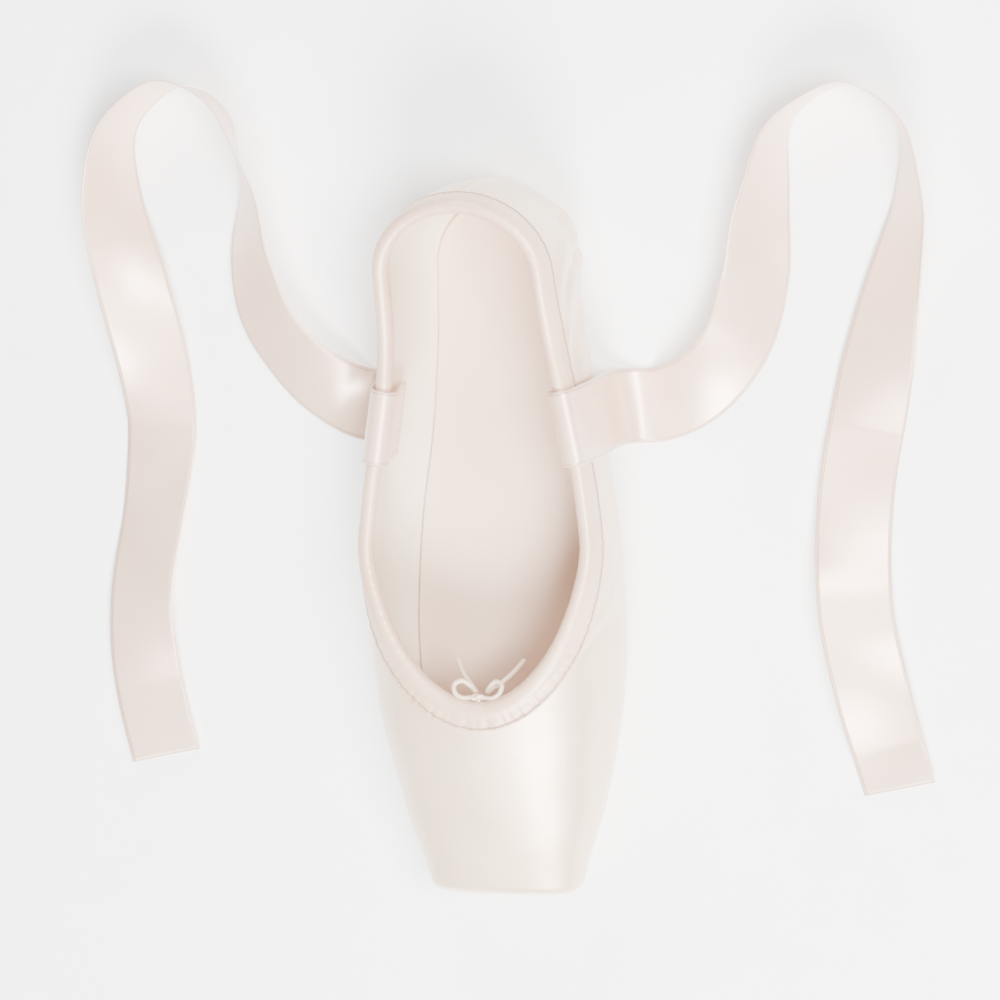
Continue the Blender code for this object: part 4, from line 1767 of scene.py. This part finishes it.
    def _build_lining(self) -> None:
        """Makes the canvas inside the satin."""
        last = self.last
        vamp = np.linspace(last.toe + self.lining_start, last.throat - 4 * MM, 22)
        sides = last.throat + (0.20 - last.vamp_length) * np.linspace(0, 1, 60) ** 1.5 * 0.92
        heel = np.linspace(sides[-1], last.path_end, 30)
        path = np.unique(np.concatenate([vamp, sides, heel]))
        points, normal = self._half(path, self.lining_columns)
        depth = self.satin_thickness + self.lining_gap
        wrinkle = ripple(points, 0.028, 21) * self.lining_swell
        points = points - normal * (depth + np.maximum(wrinkle, 0.0))[..., None]
        lining = Bench.lay("canvas_lining", both_sides(points, self._cloth_uv(path, points)))
        Bench.modify(
            lining, "SOLIDIFY", thickness=last.wall - depth, offset=-1.0, use_even_offset=True
        )
        on_body(lining, "insole_sock", CANVAS.material())

    def build(self) -> None:
        """Makes the satin and its lining."""
        sheets = [sheet for side in Side for sheet in self._satin_half(side)]
        satin = Bench.lay("satin_upper", sheets)
        Bench.modify(
            satin, "SOLIDIFY", thickness=self.satin_thickness, offset=-1.0, use_even_offset=True
        )
        on_body(satin, "satin", SATIN.material(), "upper")
        self._build_lining()


# The binding


@dataclass
class Binding:
    """Folded tape over the collar, with the drawstring's casing and its stitching."""

    last: Last
    thickness: float = 0.8 * MM
    gap: float = 0.5 * MM
    stations: int = 300
    gather: float = 3.4 * MM
    gather_height: float = 0.26 * MM
    # Run from the throat over which the gathers are at their tightest, and how much
    gather_fade: tuple[float, float] = (0.02, 0.07)
    gather_more: float = 1.4
    crown: float = 0.12 * MM
    stitch_row: float = 5.7 * MM
    stitch_sink: float = 0.16 * MM
    stitch_pitch: float = 2.3 * MM
    stitch_size: tuple[float, float, float] = (1.70 * MM, 0.38 * MM, 0.30 * MM)
    # Distance below the edge, and how far the tape's face stands off its thickness
    outer: tuple[tuple[float, float], ...] = (
        (7.00 * MM, -0.62 * MM),
        (6.96 * MM, -0.30 * MM),
        (6.80 * MM, -0.08 * MM),
        (6.50 * MM, 0.04 * MM),
        (6.10 * MM, 0.00 * MM),
        (5.70 * MM, -0.22 * MM),
        (5.30 * MM, -0.04 * MM),
        (4.60 * MM, 0.10 * MM),
        (3.80 * MM, 0.12 * MM),
        (3.00 * MM, 0.05 * MM),
        (2.40 * MM, 0.14 * MM),
        (1.60 * MM, 0.32 * MM),
        (0.80 * MM, 0.34 * MM),
        (0.20 * MM, 0.22 * MM),
    )
    inner: tuple[tuple[float, float], ...] = (
        (0.30 * MM, 0.16 * MM),
        (1.20 * MM, 0.10 * MM),
        (2.40 * MM, 0.04 * MM),
        (3.60 * MM, 0.04 * MM),
        (4.40 * MM, -0.16 * MM),
        (4.80 * MM, 0.00 * MM),
        (4.96 * MM, -0.20 * MM),
        (5.00 * MM, -0.62 * MM),
    )
    # Distances below the edge at which the tape's back lies along the wall
    inner_back: tuple[float, ...] = (5.0 * MM, 2.5 * MM, 0.6 * MM)
    outer_back: tuple[float, ...] = (0.6 * MM, 3.5 * MM, 7.0 * MM)

    def _collar(self, count: int) -> Collar:
        """The edge at an even spacing along it.

        Args:
            count: How many points.

        Returns:
            The collar from the throat to the back of the heel.
        """
        last = self.last
        share = np.linspace(0, 1, 900)
        rough = Collar(last, last.throat + (last.path_end - last.throat) * share**1.6)
        run = rough.along
        return Collar(last, np.interp(np.linspace(0, run[-1], count), run, rough.path))

    def build(self) -> None:
        """Makes the tape and its stitches."""
        last = self.last
        collar = self._collar(self.stations)
        run = collar.along
        far = self.gap + self.thickness
        gather = gathers(run, self.gather, 0.22) * self.gather_height
        tight = (1 + self.gather_more * (1 - ease(*self.gather_fade, run))) * 0.8
        ring = []
        for distance, off in self.outer:
            spot, out = collar.below(distance)
            share = ease(1.0 * MM, 5.0 * MM, distance) * tight
            ring.append(spot + out * (far + off + gather * share)[:, None])
        middle = collar.edge - collar.out * (last.wall / 2)
        radius = last.wall / 2 + far + 0.10 * MM
        for turn in np.linspace(0.12, math.pi - 0.12, 9):
            crown = radius + self.crown * math.sin(turn) + gather[:, None] * 0.5
            way = collar.out * math.cos(turn) - collar.down * math.sin(turn)
            ring.append(middle + way * crown)
        for distance, off in self.inner:
            spot, out = collar.below(distance)
            share = ease(0.5 * MM, 4.0 * MM, distance) * tight
            ring.append(spot - out * (last.wall + far + off + gather * share)[:, None])
        for distance in self.inner_back:
            spot, out = collar.below(distance)
            ring.append(spot - out * (last.wall + self.gap * 0.6))
        ring.append(middle - collar.down * (self.gap + 0.2 * MM))
        for distance in self.outer_back:
            spot, out = collar.below(distance)
            ring.append(spot + out * self.gap * 0.5)
        ring.append(ring[0])
        points = np.stack(ring, axis=1)
        points[[0, -1], :, 0] = 0.0
        uv = np.stack(np.broadcast_arrays(run[:, None], run_of(points[0])[None]), axis=-1)
        tape = Bench.lay("binding_tape", both_sides(points, uv))
        on_body(tape, "binding_tape", TAPE.material(), "binding")
        self._stitch()

    def _stitch(self) -> None:
        """Sews the tape's lower edge."""
        whole = self._collar(400).along[-1]
        collar = self._collar(int(whole / self.stitch_pitch) * 2 + 1)
        spot, out = collar.below(self.stitch_row)
        off = self.gap + self.thickness - self.stitch_sink
        places = []
        for side in Side:
            for i in range(1, len(spot), 2):
                ahead = unit(spot[min(i + 1, len(spot) - 1)] - spot[i - 1])
                places.append(stitch_place(side, ahead, out[i], spot[i] + out[i] * off))
        stitch = Bench.thread("stitch", self.stitch_size)
        sewn = Bench.copies("binding_stitches", stitch, places)
        on_body(sewn, "binding_tape", FINE_THREAD.material())


# Outsole and sock


@dataclass
class Outsole:
    """Leather outsole with a burnished rim and a stitched channel."""

    last: Last
    columns: int = 260
    corner: float = 0.55 * MM
    channel: float = 3.0 * MM
    top_inset: float = 3.0 * MM
    # Distance inside the outline and height of the underside round the sewn channel
    groove: tuple[tuple[float, float], ...] = (
        (1.4 * MM, 0.0 * MM),
        (2.2 * MM, 0.0 * MM),
        (2.6 * MM, 0.14 * MM),
        (3.0 * MM, 0.30 * MM),
        (3.4 * MM, 0.14 * MM),
        (3.8 * MM, 0.0 * MM),
        (4.6 * MM, 0.0 * MM),
    )
    # Lines inside the groove's last one, as shares of its distance from the middle
    face: tuple[float, ...] = (0.88, 0.74, 0.58, 0.42, 0.26, 0.12, 0.0)
    stitch_pitch: float = 6.0 * MM
    stitch_lift: float = 0.22 * MM
    stitch_size: tuple[float, float, float] = (4.6 * MM, 1.0 * MM, 0.60 * MM)

    def _line(self, inset: float, height: Array | float, share: float = 1.0) -> Array:
        """A line of the right half, from the tip to the end.

        Args:
            inset: How far inside the outline.
            height: Height over the line of the floor.
            share: How far out from the middle it lies, 1 being the inset outline itself.

        Returns:
            The line's points.
        """
        last = self.last
        front, back = last.sole_front + inset, last.sole_back - inset
        spread = (1 - np.cos(np.linspace(0, math.pi, self.columns))) / 2
        even = np.linspace(0, 1, self.columns)
        y = front + (back - front) * (spread * 0.75 + even * 0.25)
        half = last.outsole_half(y, inset)
        half[[0, -1]] = 0.0
        return np.column_stack([half * share, y, last.floor_line(y) + height])

    def build(self) -> None:
        """Makes the leather and its stitches."""
        thick, corner = self.last.sole_thickness, self.corner
        # Each line's points, and what its UV says that it measures from the rim
        rows = [(self._line(self.top_inset, thick, share), self.top_inset)
                for share in (0.0, 0.5, 1.0)]
        for turn in np.linspace(math.pi / 2, -math.pi / 2, 11):
            inset = corner * (1 - math.cos(turn))
            height = thick / 2 + (thick / 2 - corner) * np.sign(round(math.sin(turn), 6))
            line = self._line(inset, height + corner * math.sin(turn))
            rows.append((line, min(inset, 0.3 * MM)))
        rows += [(self._line(inset, height), inset) for inset, height in self.groove]
        inset = self.groove[-1][0]
        half = self._line(inset, 0.0)[:, 0]
        for share in self.face:
            rows.append((self._line(inset, 0.0, share), inset + half * (1 - share) + 1.0 * MM))
        points = np.stack([line for line, _ in rows])
        measures = np.stack([np.broadcast_to(measure, self.columns) for _, measure in rows])
        edge = self._line(self.channel, 0.0)
        run = run_of(edge)
        uv = np.stack([np.broadcast_to(run, measures.shape), measures], axis=-1)
        leather = Bench.lay("leather_outsole", both_sides(points, uv))
        on_body(leather, "sole_leather", SoleLeather().material(), "outsole")
        self._stitch(edge, run)

    def _stitch(self, edge: Array, run: Array) -> None:
        """Sews the channel.

        Args:
            edge: The right half's channel, from the tip to the end.
            run: The distance along it.
        """
        around = 1.0 * MM
        places = []
        for side in Side:
            for i in range(int(run[-1] / self.stitch_pitch)):
                middle = (i + 1.0) * self.stitch_pitch
                if middle > run[-1] - self.stitch_pitch / 2:
                    continue
                ends = [np.array([np.interp(middle + step, run, edge[:, k]) for k in range(3)])
                        for step in (-around, around)]
                ahead = unit(ends[1] - ends[0])
                down = np.array((0.0, 0.0, -1.0))
                down = unit(down - ahead * (down @ ahead))
                spot = (ends[0] + ends[1]) / 2 + (0, 0, self.stitch_lift)
                places.append(stitch_place(side, ahead, down, spot))
        stitch = Bench.thread("sole_stitch", self.stitch_size, 8)
        sewn = Bench.copies("outsole_stitches", stitch, places)
        on_body(sewn, "sole_leather", SOLE_THREAD.material())


@dataclass
class Sock:
    """Cotton sock on the insole, whose edges turn up a little against the walls."""

    last: Last
    thickness: float = 1.5 * MM
    clearance: float = 0.35 * MM
    swell: float = 0.16 * MM
    start: float = 2.0 * MM
    rim_angle: float = -1.12
    columns: int = 40

    def build(self) -> None:
        """Makes the sock."""
        last = self.last
        path = np.linspace(last.sole_front + self.start, last.path_end, 170)
        own = Sections(last, path[:, None])
        skin = own.skin(np.linspace(-math.pi / 2, self.rim_angle, 40)[None, :])
        lines = np.concatenate([own.place(np.zeros_like(own.slot), own.bottom), skin], axis=1)
        points = np.stack([spaced(line, self.columns) for line in lines])
        at_back = path >= last.path_end - TOUCH
        points[at_back, :, 0] = 0.0
        normal = Upper.facing(points, at_back)
        normal[:, 0] = (0.0, 0.0, -1.0)
        depth = last.wall + self.clearance + self.thickness * 0.98
        lift = np.maximum(-ripple(points, 0.022, 31) * self.swell, 0.0)
        points = points - normal * (depth - lift)[..., None]
        points[:, 0, 0] = 0.0
        points[..., 0] = np.maximum(points[..., 0], 0.0)
        up = np.stack([run_of(row) for row in points])
        uv = np.stack([points[..., 1], up], axis=-1)
        sock = Bench.lay("insole_sock", both_sides(points, uv, Side.LEFT))
        Bench.modify(sock, "SOLIDIFY", thickness=self.thickness * 0.8, offset=-1.0)
        on_body(sock, "insole_sock", SOCK.material(), "insole")


# Drawstring


@dataclass
class Drawstring:
    """Twisted cotton cord that leaves the binding at the throat in a small bow."""

    last: Last
    diameter: float = 1.6 * MM
    knot: tuple[float, float, float] = (4.6 * MM, 3.4 * MM, 3.6 * MM)
    twist: float = 3.6 * MM
    strands: int = 3
    # Radius between the strands, and how far they stand out, as shares of the whole
    core: float = 0.80
    strand: float = 0.22
    sides: int = 15
    route: Array = field(default_factory=lambda: rows_of(
        # x, behind the throat, below the instep
        (0.0027, 0.0039, 0.0020),
        (0.0052, 0.0040, 0.0012),
        (0.0076, 0.0056, 0.0016),
        (0.0080, 0.0082, 0.0032),
        (0.0058, 0.0090, 0.0048),
        (0.0034, 0.0072, 0.0054),
        (0.0020, 0.0052, 0.0064),
        (0.0034, 0.0056, 0.0092),
        (0.0062, 0.0078, 0.0120),
        (0.0088, 0.0102, 0.0148),
        (0.0106, 0.0124, 0.0176),
        (0.0116, 0.0138, 0.0192),
    ))
    # How far inside the knot each half starts
    tucked: float = 1.3 * MM
    spacing: float = 0.30 * MM

    def _cord(self, name: str, centres: Array, diameter: float) -> bpy.types.Object:
        """A twisted cord along points, rounded at its ends.

        Args:
            name: Its name.
            centres: Points along it, close together.
            diameter: Its diameter.

        Returns:
            The cord.
        """
        run = run_of(centres)
        turn = np.linspace(0, TURN, self.sides, endpoint=False)
        phase = self.strands / 2 * (turn[None, :] - TURN * run[:, None] / self.twist)
        radius = diameter / 2 * (self.core + self.strand * np.abs(np.cos(phase)))
        close = np.minimum(run, run[-1] - run)
        cap = np.sqrt(np.clip(1 - (1 - np.clip(close / (diameter * 0.4), 0, 1)) ** 2, 0.05, 1))
        return Bench.tube(name, centres, radius * cap[:, None], self.sides)

    def build(self) -> None:
        """Makes the two halves and the knot between them."""
        last = self.last
        cotton = COTTON.material()
        line = (0.0, last.throat, last.instep_height) + self.route * (1, 1, -1)
        centre = line[0] * (0, 1, 1)
        turn = np.linspace(0, TURN, 110)
        thick = self.diameter * self.core
        size = (np.array(self.knot) - thick) / 2
        knot_line = np.stack([
            (np.sin(turn) + 2 * np.sin(2 * turn)) / 3.0 * size[0],
            (np.cos(turn) - 2 * np.cos(2 * turn)) / 3.0 * size[1],
            -np.sin(3 * turn) * size[2] * 0.8,
        ], axis=1) + centre
        knot = self._cord("drawstring_bow_knot", knot_line, thick)
        on_body(knot, "drawstring_cotton", cotton, "drawstring_knot")
        into = line[:1] - (self.tucked, 0.0, 0.0)
        half = through(np.concatenate([into, line]), self.spacing)
        for side in Side:
            centres = half * (side.value, 1, 1)
            name = f"drawstring_{side.name.lower()}"
            cord = self._cord(f"{name}_cord", centres, self.diameter)
            on_body(cord, "drawstring_cotton", cotton, name)
            LOG.info("%s: %.1f mm long", name, run_of(centres)[-1] * 1000)


# Ribbons


@dataclass
class Ribbon:
    """A satin ribbon: sewn inside the quarter, over the collar and loose on the floor."""

    last: Last
    side: Side
    route: Array
    width: float = 25.0 * MM
    thickness: float = 0.35 * MM
    clearance: float = 1.8 * MM
    sewn: float = 20.0 * MM
    bend: float = 10.0 * MM
    rest: float = 0.6 * MM
    binding_gap: float = 0.5 * MM
    binding_thickness: float = 0.8 * MM
    spacing: float = 1.2 * MM
    columns: int = 19
    wave_height: float = 0.66 * MM
    bow: float = 0.25 * MM
    swell: float = 0.25 * MM
    floor_gap: float = 0.05 * MM
    seed: int = 1
    stitch_size: tuple[float, float, float] = (2.2 * MM, 0.36 * MM, 0.30 * MM)
    stitch_pitch: float = 3.2 * MM
    stitch_inset: float = 2.0 * MM
    stitch_slant: float = 0.55

    def _start(self) -> tuple[Array, Array]:
        """The ribbon's way from its sewn end over the collar to the floor.

        Returns:
            The line's points, and the direction in which the collar runs there.
        """
        last = self.last
        edge = Collar(last, np.array([last.seam]))
        off = self.binding_gap + self.binding_thickness + self.clearance
        line = []
        for share in (1.0, 0.75, 0.5, 0.25):
            spot, out = edge.below(self.sewn * share)
            line.append(spot[0] - out[0] * (last.wall + off))
        out, down = edge.out[0], edge.down[0]
        middle = edge.edge[0] - out * last.wall / 2
        radius = last.wall / 2 + off
        for angle in np.linspace(0, math.pi, 9):
            line.append(middle - (out * math.cos(angle) + down * math.sin(angle)) * radius)
        for share in (0.3, 0.6, 0.9):
            spot, out = edge.below((last.side_height - last.widest_height) * share)
            line.append(spot[0] + out[0] * off)
        drop = line[-1]
        for angle in np.linspace(0, math.pi / 2, 5):
            reach = self.bend * (1 - math.cos(angle))
            height = self.rest + self.bend * (1 - math.sin(angle))
            line.append(np.array((drop[0] + reach, drop[1], height)))
        return np.array(line), edge.run[0]

    def build(self) -> None:
        """Makes the ribbon and the stitches that hold it."""
        line, collar_run = self._start()
        rows = np.column_stack([line, np.zeros(len(line))])
        route = self.route + (0.0, 0.0, self.rest, 0.0)
        laid = through(np.concatenate([rows, route]), self.spacing)
        leans = np.radians(laid[:, 3])
        centres = laid[:, :3]
        centres[:, 2] = np.maximum(centres[:, 2], self.rest)
        centres[:, 2] += self.width / 2 * np.abs(np.sin(leans))
        away = run_of(laid)
        on_floor = np.clip((away - run_of(line)[-1]) / self.width + 0.5, 0.0, 1.0)[:, None]
        step, near = np.arange(len(centres)), 4
        before, after = np.maximum(step - near, 0), np.minimum(step + near, step[-1])
        ahead = unit(centres[after] - centres[before])
        wide = collar_run * (1 - on_floor) + np.cross((0.0, 0.0, 1.0), ahead) * on_floor
        wide = unit(wide - ahead * np.sum(wide * ahead, axis=1, keepdims=True))
        turn = leans[:, None]
        wide = wide * np.cos(turn) + np.cross(ahead, wide) * np.sin(turn)
        up = np.cross(ahead, wide)
        share = np.linspace(-1, 1, self.columns)
        strip = centres[:, None] + wide[:, None] * (self.width / 2) * share[None, :, None]
        loose = ease(0.0, 0.05, away - run_of(line)[-4])[:, None]
        wave = np.sin(away / 9.5e-3 + 1.7 * np.sin(away / 31e-3) + self.seed)[:, None]
        skew = np.sin(away / 14.0e-3 + self.seed * 2.0)[:, None]
        height = (wave * (0.5 + 0.5 * share**2) + 0.9 * skew * share) * self.wave_height
        height = height + self.bow * (1 - share**2)
        height = (height + ripple(strip, 0.030, self.seed) * self.swell) * loose
        strip = strip + up[:, None] * height[..., None]
        strip[..., 2] = np.maximum(strip[..., 2], self.thickness / 2 + self.floor_gap)
        uv = np.stack(np.broadcast_arrays(away[:, None], share * self.width / 2), axis=-1)
        name = f"ribbon_{self.side.name.lower()}"
        ribbon = Bench.lay(f"{name}_satin", [Lay(strip * (self.side.value, 1, 1), uv)])
        Bench.modify(ribbon, "SOLIDIFY", thickness=self.thickness, offset=0.0)
        on_body(ribbon, "ribbon_satin", RIBBON_SATIN.material(), name)
        sewn = self._sew(centres, wide, up)
        LOG.info("%s: %.0f mm long", name, away[-1] * 1000)

    def _sew(self, centres: Array, wide: Array, up: Array) -> bpy.types.Object:
        """Whip stitches round the sewn end.

        Args:
            centres: The ribbon's middle line.
            wide: Direction across it.
            up: Direction that its face looks.

        Returns:
            The stitches.
        """
        run = run_of(centres)
        places = []
        half = self.width / 2 - self.stitch_inset
        border = [(self.stitch_inset, x) for x in np.arange(-half, half, self.stitch_pitch)]
        downs = np.arange(4.5 * MM, self.sewn - 8 * MM, self.stitch_pitch)
        border += [(down, sign * half) for down in downs for sign in (-1, 1)]
        for down, out in border:
            i = int(np.searchsorted(run, down))
            ahead = unit(centres[i + 1] - centres[i])
            slant = unit(ahead + wide[i] * self.stitch_slant)
            spot = centres[i] + wide[i] * out + up[i] * self.thickness * 0.55
            places.append(stitch_place(self.side, slant, up[i], spot))
        stitch = Bench.thread("whip", self.stitch_size)
        sewn = Bench.copies(f"ribbon_{self.side.name.lower()}_stitches", stitch, places)
        return on_body(sewn, "ribbon_satin", FINE_THREAD.material())


RIGHT_ROUTE = rows_of(
    # out, y, lift, lean in degrees
    (0.062, 0.0460, 0.0005, 14.0),
    (0.079, 0.0620, 0.0010, 30.0),
    (0.088, 0.0860, 0.0020, 42.0),
    (0.091, 0.1130, 0.0010, 62.0),
    (0.099, 0.1370, 0.0000, 82.0),
    (0.118, 0.1480, 0.0000, 86.0),
    (0.135, 0.1350, 0.0000, 80.0),
    (0.139, 0.1090, 0.0010, 58.0),
    (0.132, 0.0780, 0.0030, 30.0),
    (0.124, 0.0450, 0.0020, 6.0),
    (0.118, 0.0100, 0.0004, -10.0),
    (0.118, -0.0250, 0.0030, -14.0),
    (0.124, -0.0580, 0.0030, -4.0),
    (0.131, -0.0860, 0.0004, 4.0),
)
LEFT_ROUTE = rows_of(
    # out, y, lift, lean in degrees
    (0.063, 0.0480, 0.0005, 14.0),
    (0.080, 0.0660, 0.0010, 28.0),
    (0.087, 0.0920, 0.0020, 40.0),
    (0.088, 0.1200, 0.0010, 62.0),
    (0.096, 0.1430, 0.0000, 82.0),
    (0.114, 0.1530, 0.0000, 86.0),
    (0.131, 0.1410, 0.0000, 80.0),
    (0.136, 0.1150, 0.0010, 56.0),
    (0.131, 0.0840, 0.0030, 30.0),
    (0.126, 0.0520, 0.0020, 10.0),
    (0.127, 0.0180, 0.0004, -8.0),
    (0.133, -0.0160, 0.0030, -12.0),
    (0.135, -0.0500, 0.0030, -2.0),
    (0.129, -0.0820, 0.0004, 8.0),
)


def main() -> None:
    """Builds the shoe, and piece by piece."""
    logging.basicConfig(level=logging.INFO, format="%(name)s %(message)s")
    last = Last()
    studio = Studio()
    studio.set_camera()
    Ribbon(last, Side.RIGHT, RIGHT_ROUTE, seed=3).build()
    Ribbon(last, Side.LEFT, LEFT_ROUTE, seed=7).build()
    Drawstring(last).build()
    Upper(last).build()
    Binding(last).build()
    Outsole(last).build()
    Sock(last).build()
    studio.lay_floor()
    studio.light()


if __name__ == "__main__":
    main()
